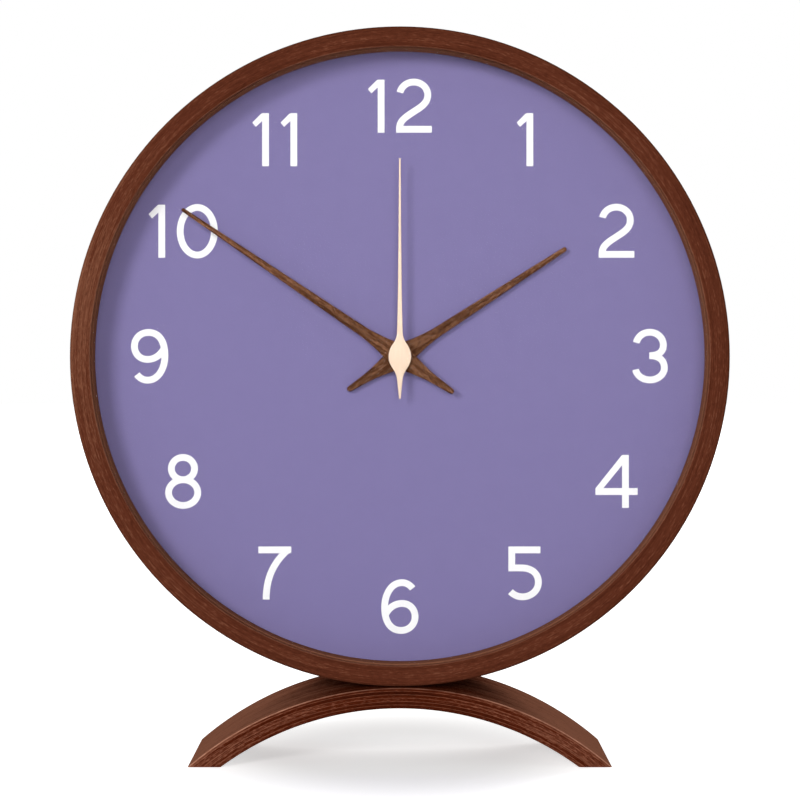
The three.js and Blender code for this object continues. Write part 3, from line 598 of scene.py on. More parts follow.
def straight_grain() -> Group:
    """Grain along Z: streaks, flecks and broad tone."""

    def wire(sheet: NodeSheet, given: Sockets) -> Sockets:
        """The inside of the group."""
        place, length, width = given[:3]
        x, y, z = sheet.split(place)
        lanes = [sheet.math("DIVIDE", value, width) for value in (x, y)]
        along = sheet.math("DIVIDE", z, length)
        point = sheet.xyz(*lanes, along)
        short = sheet.xyz(*lanes, sheet.math("MULTIPLY", along, 9.0))
        streak = sheet.noise(point, detail=4)
        fleck = sheet.noise(short, detail=1)
        return streak, fleck, sheet.noise(point, scale=0.22, detail=2)

    inputs = {"Place": VECTOR, "Length": VALUE, "Width": VALUE}
    return node_group("straight_grain", inputs, {"Streak": VALUE, "Fleck": VALUE, "Broad": VALUE}, wire)


def wood_tone() -> Group:
    """Colour, roughness and height of oiled wood from its grain."""

    def wire(sheet: NodeSheet, given: Sockets) -> Sockets:
        """The inside of the group."""
        streak, fleck, broad, tone, figure, dark, middle, light = given[:8]
        pores = sheet.spread(fleck, 0.28, 0.42)
        fine = sheet.spread(streak, 0.3, 0.7, -0.22, 0.22)
        change = sheet.math("ADD", fine, sheet.spread(broad, 0.25, 0.75, -0.2, 0.2))
        change = sheet.math("ADD", change, sheet.spread(fleck, 0.5, 0.7, 0.0, 0.45))
        depth = sheet.math("MULTIPLY_ADD", change, figure, tone)
        low = sheet.mix(sheet.math("MULTIPLY", depth, 2.0, clamp=True), dark, middle)
        high = sheet.math("MULTIPLY_ADD", depth, 2.0, -1.0, clamp=True)
        colour = sheet.mix(high, low, light)
        hollow = sheet.math("MULTIPLY_ADD", pores, -0.7, 0.7)
        colour = sheet.mix(sheet.math("MULTIPLY", hollow, figure, clamp=True), colour, dark)
        rough = sheet.math("MULTIPLY_ADD", pores, -0.1, 0.85)
        return colour, rough, sheet.math("MULTIPLY_ADD", streak, 0.5, pores)

    inputs = {"Streak": VALUE, "Fleck": VALUE, "Broad": VALUE, "Tone": VALUE, "Figure": VALUE}
    inputs |= {"Dark": COLOUR, "Middle": COLOUR, "Light": COLOUR}
    outputs = {"Colour": COLOUR, "Roughness": VALUE, "Height": VALUE}
    return node_group("wood_tone", inputs, outputs, wire)


def worn_edge() -> Group:
    """A mask along the edge where two faces meet, broken up a little, for rubbed wood and its painted
    highlight.
    """

    def wire(sheet: NodeSheet, given: Sockets) -> Sockets:
        """The inside of the group."""
        place, first, second, width = given[:4]
        shares = [sheet.math("DIVIDE", value, width) for value in (first, second)]
        near = [sheet.spread(share, 0.5, 1.0, 1.0, 0.0) for share in shares]
        patch = sheet.spread(sheet.noise(place, scale=260.0, detail=3), 0.3, 0.62, 0.35, 1.0)
        return (sheet.math("MULTIPLY", sheet.math("MULTIPLY", *near), patch),)

    inputs = {"Place": VECTOR, "First": VALUE, "Second": VALUE, "Width": VALUE}
    return node_group("worn_edge", inputs, {"Mask": VALUE}, wire)


def fine_grit() -> Group:
    """The small grain and slow mottle of a moulded, painted or pressed surface."""

    def wire(sheet: NodeSheet, given: Sockets) -> Sockets:
        """The inside of the group."""
        place, size = given[:2]
        point = sheet.vector("DIVIDE", place, sheet.xyz(size, size, size))
        grit = sheet.noise(point, detail=3)
        mottle = sheet.noise(point, scale=0.06, detail=3)
        return grit, mottle

    return node_group("fine_grit", {"Place": VECTOR, "Size": VALUE}, {"Grit": VALUE, "Mottle": VALUE}, wire)


# Finishes

MADE: dict[str, bpy.types.Material] = {}
WOOD_SHINE = 0.0


class Finish:
    """A surface that is built once as a material, under its own name."""

    name: str

    def material(self) -> bpy.types.Material:
        """The finish as a material."""
        if self.name not in MADE:
            material = bpy.data.materials.new(self.name)
            material.use_nodes = True
            material.node_tree.nodes.clear()
            sheet = NodeSheet(material.node_tree)
            surface = self.wire(sheet)
            sheet.add("ShaderNodeOutputMaterial", {"Surface": surface})
            MADE[self.name] = material
        return MADE[self.name]

    def wire(self, sheet: NodeSheet) -> Socket:
        """Builds the surface in the material's own tree and gives its shader."""
        raise NotImplementedError


def principled(sheet: NodeSheet, feeds: Feeds, height: Socket, depth: float) -> Socket:
    """A Principled surface with a bump of a height from 0 to 1 and a depth in metres."""
    bump = sheet.add("ShaderNodeBump", {"Strength": 1.0, "Distance": depth, "Height": height}).outputs[0]
    return sheet.add("ShaderNodeBsdfPrincipled", {**feeds, "Normal": bump}).outputs[0]


@dataclass(frozen=True)
class BentWood(Finish):
    """Oiled wood strips glued in a bend, seen on their faces and on their edges."""

    name: str
    outside: float
    inside: float
    front: float
    ply: float
    dark: Colour
    middle: Colour
    light: Colour
    # The edge colour marks rubbed edges and also paints their highlight.
    edge: Colour
    seam: Colour
    run: float = 5.0
    width: float = 0.4 * MM
    tone: float = 0.4
    figure: float = 0.6
    strip_share: float = 0.2
    seam_share: float = 0.4
    seam_inset: Point = (0.1 * MM, 0.3 * MM)
    # Painted light: the next three fields make the tone lighter towards the left, where the key lamp's light
    # falls.
    slant: Point = (-0.99, 0.14)
    slant_power: float = 7.0
    lean: float = 0.0
    edge_width: float = 0.4 * MM
    edge_share: float = 0.25
    outer_skin: float = 0.1 * MM
    outer_tone: float = 0.0
    # Painted light: the next two fields make the inner face lighter, standing in for the light that the
    # ring's inner wall catches.
    inner_skin: float = 0.05 * MM
    inner_tone: float = 0.0
    # Painted shade: the next four fields make the wood darker, its outer face less light and its edge
    # highlight dimmer near the middle, where the ring's shade falls.
    shelter: float = 55 * MM
    fading: float = 0.0
    sheltered_face: float = 0.25
    sheltered_edge: float = 1.0
    relief: float = 0.06 * MM

    def wire(self, sheet: NodeSheet) -> Socket:
        """Bent grain, glue seams, a rubbed front edge with a painted highlight, and light and shade painted
        into the tone.
        """
        place = sheet.place()
        feeds = {"Place": place, "Run": self.run, "Width": self.width}
        feeds |= {"Ply": self.ply, "Outside": self.outside}
        streak, fleck, broad, seam, strip = sheet.use(bent_grain(), feeds)[:5]
        x, y, z = sheet.split(place)
        radius = sheet.vector("LENGTH", sheet.xyz(x, 0.0, z), output=1)
        # Painted light: the tone grows lighter towards the left, where the key lamp's light falls.
        toward_lamp = sheet.math("MULTIPLY_ADD", z, self.slant[1], sheet.math("MULTIPLY", x, self.slant[0]))
        toward_lamp = sheet.math("DIVIDE", toward_lamp, self.outside, clamp=True)
        painted_light_share = sheet.math("POWER", toward_lamp, self.slant_power)
        tone = sheet.math("MULTIPLY_ADD", painted_light_share, self.lean, self.tone)
        tone = sheet.math("MULTIPLY_ADD", strip, self.strip_share, tone)
        from_outside = sheet.math("SUBTRACT", self.outside, radius)
        from_front = sheet.math("SUBTRACT", y, self.front)
        from_inside = sheet.math("SUBTRACT", radius, self.inside)
        # Painted shade: the wood is darker near the middle, where the ring's shade falls on the arch.
        out_of_ring_shade = sheet.spread(sheet.math("ABSOLUTE", x), 0.0, self.shelter)
        tone = sheet.math("MULTIPLY_ADD", out_of_ring_shade, self.fading, tone)
        outer_face = sheet.spread(from_outside, self.outer_skin, self.edge_width, self.outer_tone, 0.0)
        outer_face_painted_shade = sheet.spread(out_of_ring_shade, 0.0, 1.0, self.sheltered_face, 1.0)
        outer_face = sheet.math("MULTIPLY", outer_face, outer_face_painted_shade)
        # Painted light: the inner face is lighter, for the light that the ring's inner wall catches.
        inner_face = sheet.spread(from_inside, self.inner_skin, self.edge_width, self.inner_tone, 0.0)
        veneer_and_painted_light = sheet.math("ADD", outer_face, inner_face)
        feeds = {"Streak": streak, "Fleck": fleck, "Broad": broad, "Tone": sheet.math("ADD", tone, veneer_and_painted_light)}
        feeds |= {"Figure": self.figure, "Dark": self.dark, "Middle": self.middle, "Light": self.light}
        colour, rough, height = sheet.use(wood_tone(), feeds)[:3]
        within = sheet.math("MINIMUM", from_outside, from_inside)
        shadow = sheet.math("MULTIPLY", seam, sheet.spread(within, *self.seam_inset, 0.0, self.seam_share))
        colour = sheet.mix(shadow, colour, self.seam)
        # The front edge is partly rubbed wood and partly a painted highlight, dimmer in the painted shade
        # near the middle.
        feeds = {"Place": place, "First": from_outside, "Second": from_front, "Width": self.edge_width}
        rub_and_highlight_strength = sheet.spread(out_of_ring_shade, 0.0, 1.0, self.edge_share * self.sheltered_edge, self.edge_share)
        rub_and_highlight_mask = sheet.math("MULTIPLY", sheet.use(worn_edge(), feeds)[0], rub_and_highlight_strength)
        colour = sheet.mix(rub_and_highlight_mask, colour, self.edge)
        height = sheet.math("SUBTRACT", height, shadow)
        feeds = {"Base Color": colour, "Roughness": rough, "Specular IOR Level": WOOD_SHINE}
        return principled(sheet, feeds, height, self.relief)


@dataclass(frozen=True)
class StraightWood(Finish):
    """Oiled wood with its grain along the piece."""

    name: str
    dark: Colour
    middle: Colour
    light: Colour
    length: float = 7 * MM
    width: float = 0.26 * MM
    tone: float = 0.34
    figure: float = 1.25
    relief: float = 0.04 * MM

    def wire(self, sheet: NodeSheet) -> Socket:
        """Straight grain."""
        feeds = {"Place": sheet.place(), "Length": self.length, "Width": self.width}
        streak, fleck, broad = sheet.use(straight_grain(), feeds)[:3]
        feeds = {"Streak": streak, "Fleck": fleck, "Broad": broad, "Tone": self.tone, "Figure": self.figure}
        feeds |= {"Dark": self.dark, "Middle": self.middle, "Light": self.light}
        colour, rough, height = sheet.use(wood_tone(), feeds)[:3]
        feeds = {"Base Color": colour, "Roughness": rough, "Specular IOR Level": WOOD_SHINE}
        return principled(sheet, feeds, height, self.relief)


@dataclass(frozen=True)
class Gritty(Finish):
    """A moulded, painted, printed or pressed surface with a fine grain."""

    name: str
    colour: Colour
    second: Colour
    rough: float
    size: float = 0.3 * MM
    depth: float = 0.02 * MM
    contrast: float = 1.0
    shine: float = 0.4
    mottling: float = 0.5
    scatter: float = 0.06

    def wire(self, sheet: NodeSheet) -> Socket:
        """Fine grit over a slow mottle."""
        grit, mottle = sheet.use(fine_grit(), {"Place": sheet.place(), "Size": self.size})[:2]
        slow = sheet.math("MULTIPLY", mottle, self.mottling)
        blend = sheet.math("MULTIPLY_ADD", grit, 1 - self.mottling, slow)
        share = sheet.spread(blend, 0.35, 0.65, 0.0, self.contrast)
        colour = sheet.mix(share, self.colour, self.second)
        rough = sheet.spread(grit, 0.2, 0.8, self.rough - self.scatter, self.rough + self.scatter)
        feeds = {"Base Color": colour, "Roughness": rough, "Specular IOR Level": self.shine}
        return principled(sheet, feeds, grit, self.depth)


@dataclass(frozen=True)
class Metal(Finish):
    """Plated, brushed or drawn metal."""

    name: str
    colour: Colour
    second: Colour
    rough: float
    metallic: float = 1.0
    length: float = 3 * MM
    width: float = 0.08 * MM
    scatter: float = 0.08
    relief: float = 0.004 * MM

    def wire(self, sheet: NodeSheet) -> Socket:
        """Fine draw lines and small changes of tone."""
        feeds = {"Place": sheet.place(), "Length": self.length, "Width": self.width}
        streak, _, broad = sheet.use(straight_grain(), feeds)[:3]
        colour = sheet.mix(sheet.spread(broad, 0.3, 0.7), self.colour, self.second)
        rough = sheet.spread(streak, 0.25, 0.75, self.rough - self.scatter, self.rough + self.scatter)
        feeds = {"Base Color": colour, "Roughness": rough, "Metallic": self.metallic}
        return principled(sheet, feeds, streak, self.relief)


@dataclass(frozen=True)
class ClearGlass(Finish):
    """A clear pane that lets lamps and soft light straight through."""

    name: str = "window_glass"
    bending: float = 1.04

    def wire(self, sheet: NodeSheet) -> Socket:
        """Glass for the eye, and nothing for the light that falls on the dial."""
        feeds = {"Base Color": WHITE, "Roughness": 0.0, "IOR": self.bending, "Transmission Weight": 1.0}
        pane = sheet.add("ShaderNodeBsdfPrincipled", feeds).outputs[0]
        air = sheet.add("ShaderNodeBsdfTransparent").outputs[0]
        path = sheet.add("ShaderNodeLightPath").outputs
        passing = sheet.math("MAXIMUM", path["Is Shadow Ray"], path["Is Diffuse Ray"])
        return sheet.add("ShaderNodeMixShader", {0: passing, 1: pane, 2: air}).outputs[0]


@dataclass(frozen=True)
class WoundWire(Finish):
    """Enamelled wire in close turns about X."""

    name: str = "enamelled_wire"
    colour: Colour = srgb(176, 92, 48)
    second: Colour = srgb(120, 52, 28)
    rough: float = 0.3
    metallic: float = 0.8
    pitch: float = 0.16 * MM
    relief: float = 0.03 * MM

    def wire(self, sheet: NodeSheet) -> Socket:
        """Round turns side by side."""
        x = sheet.split(sheet.place())[0]
        turn = sheet.math("FRACT", sheet.math("DIVIDE", x, self.pitch))
        crown = sheet.math("SINE", sheet.math("MULTIPLY", turn, math.pi))
        colour = sheet.mix(crown, self.second, self.colour)
        feeds = {"Base Color": colour, "Roughness": self.rough, "Metallic": self.metallic}
        return principled(sheet, feeds, crown, self.relief)


WALNUT_DARK = srgb(58, 24, 13)
WALNUT = srgb(93, 47, 31)
WALNUT_LIGHT = srgb(134, 86, 64)
HAND_WOOD = StraightWood("hand_walnut", srgb(58, 32, 18), srgb(104, 67, 46), srgb(150, 106, 79))
DIAL_PAINT = Gritty(
    "dial_lacquer", srgb(129, 120, 166), srgb(127, 118, 164), rough=0.9, depth=0.0005 * MM, shine=0.03
)
DIAL_BOARD = Gritty(
    "dial_board", srgb(150, 122, 92), srgb(124, 98, 72), rough=0.85, size=0.5 * MM, depth=0.03 * MM
)
NUMERAL_INK = Gritty("numeral_ink", srgb(250, 250, 250), srgb(243, 243, 245), rough=0.6, depth=0.006 * MM)
CHAMPAGNE = Metal("champagne_lacquer", srgb(221, 195, 171), srgb(215, 188, 163), rough=0.5, metallic=0.1)
HARDBOARD = Gritty(
    "hardboard", srgb(116, 84, 60), srgb(90, 62, 43),
    rough=0.78, size=0.45 * MM, depth=0.05 * MM, mottling=0.25,
)
BLACK_PLASTIC = Gritty("black_plastic", srgb(40, 40, 42), srgb(49, 49, 52), rough=0.42)
WHITE_PLASTIC = Gritty("white_plastic", srgb(228, 226, 218), srgb(214, 212, 204), rough=0.4, depth=0.01 * MM)
KNOB_PLASTIC = Gritty("knob_plastic", srgb(84, 84, 87), srgb(95, 95, 98), rough=0.45)
MAGNET_GREY = Gritty("magnet_grey", srgb(66, 66, 70), srgb(84, 84, 88), rough=0.5, size=0.2 * MM)
BOARD_GREEN = Gritty(
    "board_green", srgb(28, 92, 58), srgb(40, 116, 74), rough=0.4, size=0.8 * MM, depth=0.01 * MM
)
ZINC = Metal("zinc_plate", srgb(206, 204, 196), srgb(176, 176, 172), rough=0.32)
COPPER = WoundWire()
CELL_WRAP = Gritty(
    "cell_sleeve", srgb(58, 66, 78), srgb(64, 72, 86),
    rough=0.35, size=0.4 * MM, depth=0.004 * MM, contrast=0.6,
)
GLASS = ClearGlass()


# Sub-assemblies


def paint(data: bpy.types.Mesh, finishes: Iterable[Finish]) -> None:
    """Gives a mesh its finishes, one to a slot."""
    data.materials.clear()
    for finish in finishes:
        data.materials.append(finish.material())


def set_up(piece: Piece, body: Body, finishes: Iterable[Finish], *nodes: str) -> None:
    """Dresses a piece, sets it on its body and lets it stand for its nodes.

    Args:
        piece: The piece, in place.
        body: The body it moves with.
        finishes: Its finishes, one to a slot.
        nodes: The frame's nodes that it stands for.
    """
    paint(piece.data, finishes)
    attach(piece, body.value)
    if nodes:
        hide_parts(*nodes)
    LOG.info("%s rides on %s", piece.name, body.value)


@dataclass
class WoodenCase:
    """The bent ring with its glass, inner strips and back panel."""

    centre: Vector = field(init=False)
    radius: float = field(init=False)
    front: float = field(init=False)
    rim_width: float = 6.2 * MM
    rim_round: float = 1.2 * MM
    lip_round: float = 0.5 * MM
    lip_thickness: float = 2 * MM
    rebate: float = 1.4 * MM
    fit: float = 0.3 * MM
    retainer_wall: float = 3 * MM
    window_round: float = 6 * MM
    window: tuple[float, float] = (72 * MM, 62 * MM)
    soft_edge: float = 0.25 * MM
    ply: float = 1.3 * MM
    ring_tone: float = 0.34
    # Painted light: the ring grows lighter towards the left, where the key lamp's light falls.
    ring_lean: float = 0.36
    # Painted highlight: the strips' tone is set light, standing in for the highlight along the ring's inner
    # edge.
    strip_tone: float = 0.85
    sides: int = 192

    def __post_init__(self) -> None:
        """Takes the ring's place and size from the frame."""
        low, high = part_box("frame_ring")
        glass_low, glass_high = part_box("front_glass")
        self.centre = Vector((0, 0, (glass_low.z + glass_high.z) / 2))
        self.radius = (high.x - low.x) / 2
        self.front = low.y

    @property
    def inner(self) -> float:
        """Radius of the ring's mouth."""
        return self.radius - self.rim_width

    @property
    def insert(self) -> float:
        """Radius of what lies in the ring's rebate."""
        return self.inner + self.rebate - self.fit

    def wood(self, name: str, outside: float, tone: float, lean: float = 0.0) -> BentWood:
        """The ring's wood, bent at a given outside radius, with light painted into its tone."""
        return BentWood(
            name, outside, self.inner, self.front, self.ply,
            dark=WALNUT_DARK, middle=WALNUT, light=WALNUT_LIGHT, edge=WALNUT_LIGHT, seam=WALNUT_DARK,
            tone=tone, figure=0.45, strip_share=0.1, seam_share=0.25, lean=lean, inner_tone=0.5,
        )

    def turned(self, name: str, corners: Sequence[Corner]) -> Piece:
        """A ring or disc turned about the dial's centre."""
        return turned(name, corners, self.sides, place=self.centre)

    def build_ring(self) -> None:
        """The bent wooden ring with its lip and rebate."""
        low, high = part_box("frame_ring")
        rebate = self.inner + self.rebate
        lip_back = low.y + self.lip_thickness
        soft = self.soft_edge
        corners = [
            (self.inner, low.y, self.lip_round),
            (self.radius, low.y, self.rim_round),
            (self.radius, high.y, soft),
            (rebate, high.y, soft),
            (rebate, lip_back, 0),
            (self.inner, lip_back, soft),
        ]
        ring = self.turned("wooden_ring", corners)
        combine(ring, [screw.hole() for screw in panel_screws()], Boolean.CUT)
        # The ring's wood has light painted into its tone: lighter towards the left and on its inner face.
        wood = self.wood("ring_walnut", self.radius, self.ring_tone, self.ring_lean)
        set_up(ring, Body.CLOCK, [wood], "frame_ring")

    def build_strips(self) -> None:
        """The strip between glass and dial, and the one that holds the dial from behind."""
        # The strips' light tone is a painted highlight.
        wood = self.wood("strip_walnut", self.insert, self.strip_tone)
        for name, inner in (("spacer", self.inner), ("retainer", self.insert - self.retainer_wall)):
            low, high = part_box(f"{name}_ring")
            corners = block(inner, self.insert, low.y, high.y, self.soft_edge)
            set_up(self.turned(f"{name}_strip", corners), Body.CLOCK, [wood], f"{name}_ring")

    def build_glass(self) -> None:
        """The clear pane behind the lip."""
        low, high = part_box("front_glass")
        corners = block(0, self.insert, low.y, high.y, 0, self.soft_edge, self.soft_edge, 0)
        set_up(self.turned("glass_pane", corners), Body.CLOCK, [GLASS], "front_glass")

    def build_panel(self) -> None:
        """The back panel with its window and countersunk holes."""
        low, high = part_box("back_panel")
        reach = (high.x - low.x) / 2
        soft = self.soft_edge
        panel = self.turned("back_board", block(0, reach, low.y, high.y, 0, soft, 2 * soft, 0))
        half, tall = (size / 2 for size in self.window)
        outline = filleted(block(-half, half, -tall, tall, self.window_round))
        window = to_object("window_tool", plate(outline, low.y - self.fit, high.y + self.fit))
        window.location = self.centre
        combine(panel, [window, *(screw.hole() for screw in panel_screws())], Boolean.CUT)
        set_up(panel, Body.CLOCK, [HARDBOARD], "back_panel")

    def build(self) -> None:
        """Builds and dresses the whole case."""
        self.build_ring()
        self.build_strips()
        self.build_glass()
        self.build_panel()
        for screw in panel_screws():
            screw.build()


@dataclass
class Screw:
    """A countersunk screw with a cross recess, head outwards."""

    node: str
    head: float
    head_height: float
    shank: float
    upward: bool = False
    rim: float = 0.2 * MM
    tip: float = 1 * MM
    slack: float = 0.15 * MM
    proud: float = 1 * MM
    recess: Corner = (0.62, 0.15, 0.4)
    sides: int = 40

    def stance(self) -> tuple[Vector, float]:
        """Where the head's face lies, and the screw's length."""
        low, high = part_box(self.node)
        middle = (low + high) / 2
        if self.upward:
            return Vector((middle.x, middle.y, low.z)), high.z - low.z
        return Vector((middle.x, high.y, middle.z)), high.y - low.y

    def turn(self, name: str, corners: Sequence[Corner]) -> Piece:
        """Turns a section on the screw's axis and sets it in place."""
        piece = turned(name, corners, self.sides, 3, self.stance()[0])
        piece.rotation_euler.x = -math.pi / 2 if self.upward else 0.0
        return piece

    def hole(self) -> Piece:
        """The cutter for the screw's countersunk hole.

        Returns:
            The cutter.
        """
        head, shank = self.head + self.slack, self.shank + self.slack
        top, neck, end = self.proud, -self.head_height - self.slack, -self.stance()[1] - self.slack
        section = [(0, top), (head, top), (head, -self.rim), (shank, neck), (shank, end), (0, end)]
        return self.turn("hole_tool", [(*point, 0) for point in section])

    def build(self) -> None:
        """Builds the screw and cuts its recess."""
        length = self.stance()[1]
        soft = self.rim / 3
        corners = [
            (0, 0, 0),
            (self.head, 0, soft),
            (self.head, -self.rim, soft),
            (self.shank, -self.head_height, 0),
            (self.shank, self.tip - length, 0),
            (self.shank / 5, -length, 0),
            (0, -length, 0),
        ]
        screw = self.turn(f"{self.node}_cross", corners)
        arm, slim, deep = (self.head * share for share in self.recess)
        tool = to_object("recess_tool", plate(cross((0, 0), arm, slim), -deep, deep))
        tool.location, tool.rotation_euler = screw.location, screw.rotation_euler
        combine(screw, [tool], Boolean.CUT)
        set_up(screw, Body.CLOCK, [ZINC], self.node)


def panel_screws() -> list[Screw]:
    """The four screws of the back panel."""
    return [
        Screw(f"back_panel_screw_{i}", head=1.5 * MM, head_height=1.1 * MM, shank=0.8 * MM)
        for i in range(1, 5)
    ]


@dataclass
class ArchedBase:
    """The bent-wood arch under the ring, with its two screws."""

    thickness: float = 6.3 * MM
    radius: float = 98 * MM
    edge: float = 0.5 * MM
    ply: float = 1.05 * MM
    steps: int = 120

    def screws(self) -> list[Screw]:
        """The two screws up into the ring."""
        return [
            Screw(f"base_screw_{end}", head=3 * MM, head_height=1.8 * MM, shank=1.4 * MM, upward=True)
            for end in ("front", "back")
        ]

    def build(self) -> None:
        """Sweeps the arch's section from foot to foot and cuts the screw holes."""
        low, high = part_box("base_arch")
        drop = self.radius - high.z
        inner = self.radius - self.thickness
        section = filleted(block(inner, self.radius, low.y, high.y, self.edge), 4)
        mesh = bmesh.new()
        loops = []
        for step in range(self.steps + 1):
            loop = []
            for radius, depth in section:
                foot = math.asin(drop / radius)
                angle = foot + (math.pi - 2 * foot) * step / self.steps
                loop.append(mesh.verts.new((radius * math.cos(angle), depth, radius * math.sin(angle))))
            loops.append(loop)
        skin(mesh, loops)
        mesh.faces.new(loops[0])
        mesh.faces.new(loops[-1])
        arch = to_object("wooden_arch", mesh)
        arch.location.z = -drop
        combine(arch, [screw.hole() for screw in self.screws()], Boolean.CUT)
        # The arch's wood paints light and shade: a highlight along its rubbed edges, painted light on its
        # inner face, and darker wood with a less light top near the middle, where the ring's shade falls.
        wood = BentWood(
            "arch_walnut", self.radius, inner, low.y, self.ply,
            dark=srgb(42, 11, 4), middle=srgb(80, 30, 13), light=srgb(150, 97, 75),
            edge=srgb(206, 150, 124), seam=srgb(160, 100, 76),
            width=0.28 * MM, tone=0.17, figure=0.55, strip_share=0.18, seam_share=0.4,
            edge_share=0.75, outer_tone=0.45, inner_tone=0.2, fading=0.27, sheltered_edge=0.35,
        )
        set_up(arch, Body.CLOCK, [wood], "base_arch")
        for screw in self.screws():
            screw.build()


@dataclass(frozen=True)
class Mark:
    """One stroke or patch of a figure, in cap heights from its lower left."""

    kind: MarkKind
    points: Sequence[Point]


def figure_marks(weight: float) -> dict[str, list[Mark]]:
    """The plain round figures of the dial, each as its marks.

    Args:
        weight: Width of a stroke, in cap heights.

    Returns:
        The marks of each figure.
    """
    half = weight / 2
    floor, cap = half, 1 - half
    stroke, loop, patch = MarkKind.STROKE, MarkKind.LOOP, MarkKind.PATCH
    one = [(0.313, 1), (0.177, 1), (0, 0.823), (0.064, 0.74), (0.185, 0.853), (0.185, 0), (0.313, 0)]
    two = chain(
        arc((0.332, 0.715), (0.264, 0.24), 170, 0),
        bezier((0.596, 0.715), (0.596, 0.54), (0.445, 0.472), (0.275, 0.358)),
        bezier((0.275, 0.358), (0.106, 0.245), (half, 0.192), (half, floor)),
        [(half, floor / 2)],
    )
    two_foot = [(0, 0), (0.672, 0), (0.672, weight), (0, weight)]
    three_top = chain(
        arc((0.325, 0.715), (0.257, 0.24), 170, 0),
        bezier((0.582, 0.715), (0.582, 0.577), (0.483, 0.513), (0.317, 0.513)),
    )
    three_foot = chain(
        bezier((0.317, 0.513), (0.502, 0.513), (0.6, 0.426), (0.6, 0.283)),
        arc((0.328, 0.283), (0.272, 0.228), 0, -172),
    )
    four_slope = [(0, 0.37), (0, 0.3), (0.09, 0.3), (0.56, 0.876), (0.56, 1), (0.502, 1)]
    four_stem = [(0.502, 0), (0.63, 0), (0.63, 1), (0.502, 1)]
    four_bar = [(0, 0.245), (0.796, 0.245), (0.796, 0.375), (0, 0.375)]
    five = chain(
        [(0.604, cap), (half, cap), (half, 0.596), (0.242, 0.596)],
        bezier((0.242, 0.596), (0.438, 0.596), (0.566, 0.494), (0.566, 0.325)),
        arc((0.268, 0.325), (0.298, 0.274), 0, -140),
    )
    six_back = chain(
        bezier((0.592, 0.841), (0.543, 0.906), (0.475, 0.95), (0.392, 0.95)),
        bezier((0.392, 0.95), (0.185, 0.95), (half, 0.728), (half, 0.483)),
        bezier((half, 0.483), (half, 0.2), (0.185, 0.049), (0.374, 0.049)),
        bezier((0.374, 0.049), (0.525, 0.049), (0.638, 0.162), (0.638, 0.306)),
        [(0.638, 0.33)],
    )
    six_bowl = chain(
        bezier((0.638, 0.306), (0.638, 0.457), (0.532, 0.558), (0.392, 0.558)),
        bezier((0.392, 0.558), (0.268, 0.558), (0.15, 0.487), (0.085, 0.358)),
    )
    seven_bar = [(0, 1 - weight), (0.619, 1 - weight), (0.619, 1), (0, 1)]
    seven_leg = bezier((0.574, 0.955), (0.302, 0.717), (0.147, 0.434), (0.147, 0))
    six = [Mark(stroke, six_back), Mark(stroke, six_bowl)]
    nine = [Mark(stroke, [(0.702 - x, 1 - y) for x, y in mark.points]) for mark in six]
    return {
        "0": [Mark(loop, arc((0.387, 0.5), (0.323, 0.449), 0, 352, 44))],
        "1": [Mark(patch, one)],
        "2": [Mark(stroke, two), Mark(patch, two_foot)],
        "3": [Mark(stroke, three_top), Mark(stroke, three_foot)],
        "4": [Mark(patch, four_slope), Mark(patch, four_stem), Mark(patch, four_bar)],
        "5": [Mark(stroke, five)],
        "6": six,
        "7": [Mark(patch, seven_bar), Mark(stroke, seven_leg)],
        "8": [
            Mark(loop, arc((0.336, 0.742), (0.219, 0.211), 0, 352, 44)),
            Mark(loop, arc((0.34, 0.29), (0.275, 0.243), 0, 352, 44)),
        ],
        "9": nine,
    }


@dataclass
class Dial:
    """The painted dial plate and its raised numerals."""

    case: WoodenCase
    bore: float = 3.7 * MM
    numeral_radius: float = 77.1 * MM
    cap_height: float = 16.34 * MM
    weight: float = 0.128
    gap: float = 0.22
    ink: float = 0.06 * MM
    painted_slope: float = -0.5

    def build_plate(self) -> None:
        """The plate, painted in front and bare board behind."""
        low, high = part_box("dial_plate")
        soft = self.case.soft_edge
        corners = block(self.bore, self.case.insert, low.y, high.y, 0, soft, soft, 0)
        dial = self.case.turned("painted_dial", corners)
        set_up(dial, Body.CLOCK, [DIAL_PAINT, DIAL_BOARD], "dial_plate")
        for face in dial.data.polygons:
            face.material_index = int(face.normal.y > self.painted_slope)

    def figure(self, name: str, marks: Sequence[Mark], front: float) -> Piece:
        """One figure at the left of its line, as a thin layer of ink.

        Args:
            name: The object's name.
            marks: Its marks.
            front: Depth of the dial's face.

        Returns:
            The figure.
        """
        made = []
        depths = (front - self.ink, front)
        for i, mark in enumerate(marks):
            points = [(x * self.cap_height, z * self.cap_height) for x, z in mark.points]
            if mark.kind is MarkKind.PATCH:
                mesh = plate(points, *depths)
            else:
                mesh = ribbon(points, self.weight * self.cap_height, *depths, mark.kind is MarkKind.LOOP)
            made.append(to_object(f"{name}_mark_{i}", mesh))
        return combine(made[0], made[1:], Boolean.JOIN)

    def build_numerals(self) -> None:
        """The hours from one to twelve, upright round the dial."""
        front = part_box("dial_plate")[0].y
        marks = figure_marks(self.weight)
        gap = self.gap * self.cap_height
        for hour in range(1, 13):
            figures = [self.figure(f"hour_{hour}_{digit}", marks[digit], front) for digit in str(hour)]
            edge = 0.0
            for figure in figures:
                across = [vertex.co.x for vertex in figure.data.vertices]
                shift = edge - min(across)
                for vertex in figure.data.vertices:
                    vertex.co.x += shift
                edge += max(across) - min(across) + gap
            numeral = combine(figures[0], figures[1:], Boolean.JOIN)
            numeral.name = f"numeral_{hour}"
            angle = math.radians(30 * hour)
            for vertex in numeral.data.vertices:
                vertex.co.x += self.numeral_radius * math.sin(angle) - (edge - gap) / 2
                vertex.co.z += self.numeral_radius * math.cos(angle) - self.cap_height / 2
            numeral.location = self.case.centre
            set_up(numeral, Body.CLOCK, [NUMERAL_INK])

    def build(self) -> None:
        """Builds the plate and its numerals."""
        self.build_plate()
        self.build_numerals()


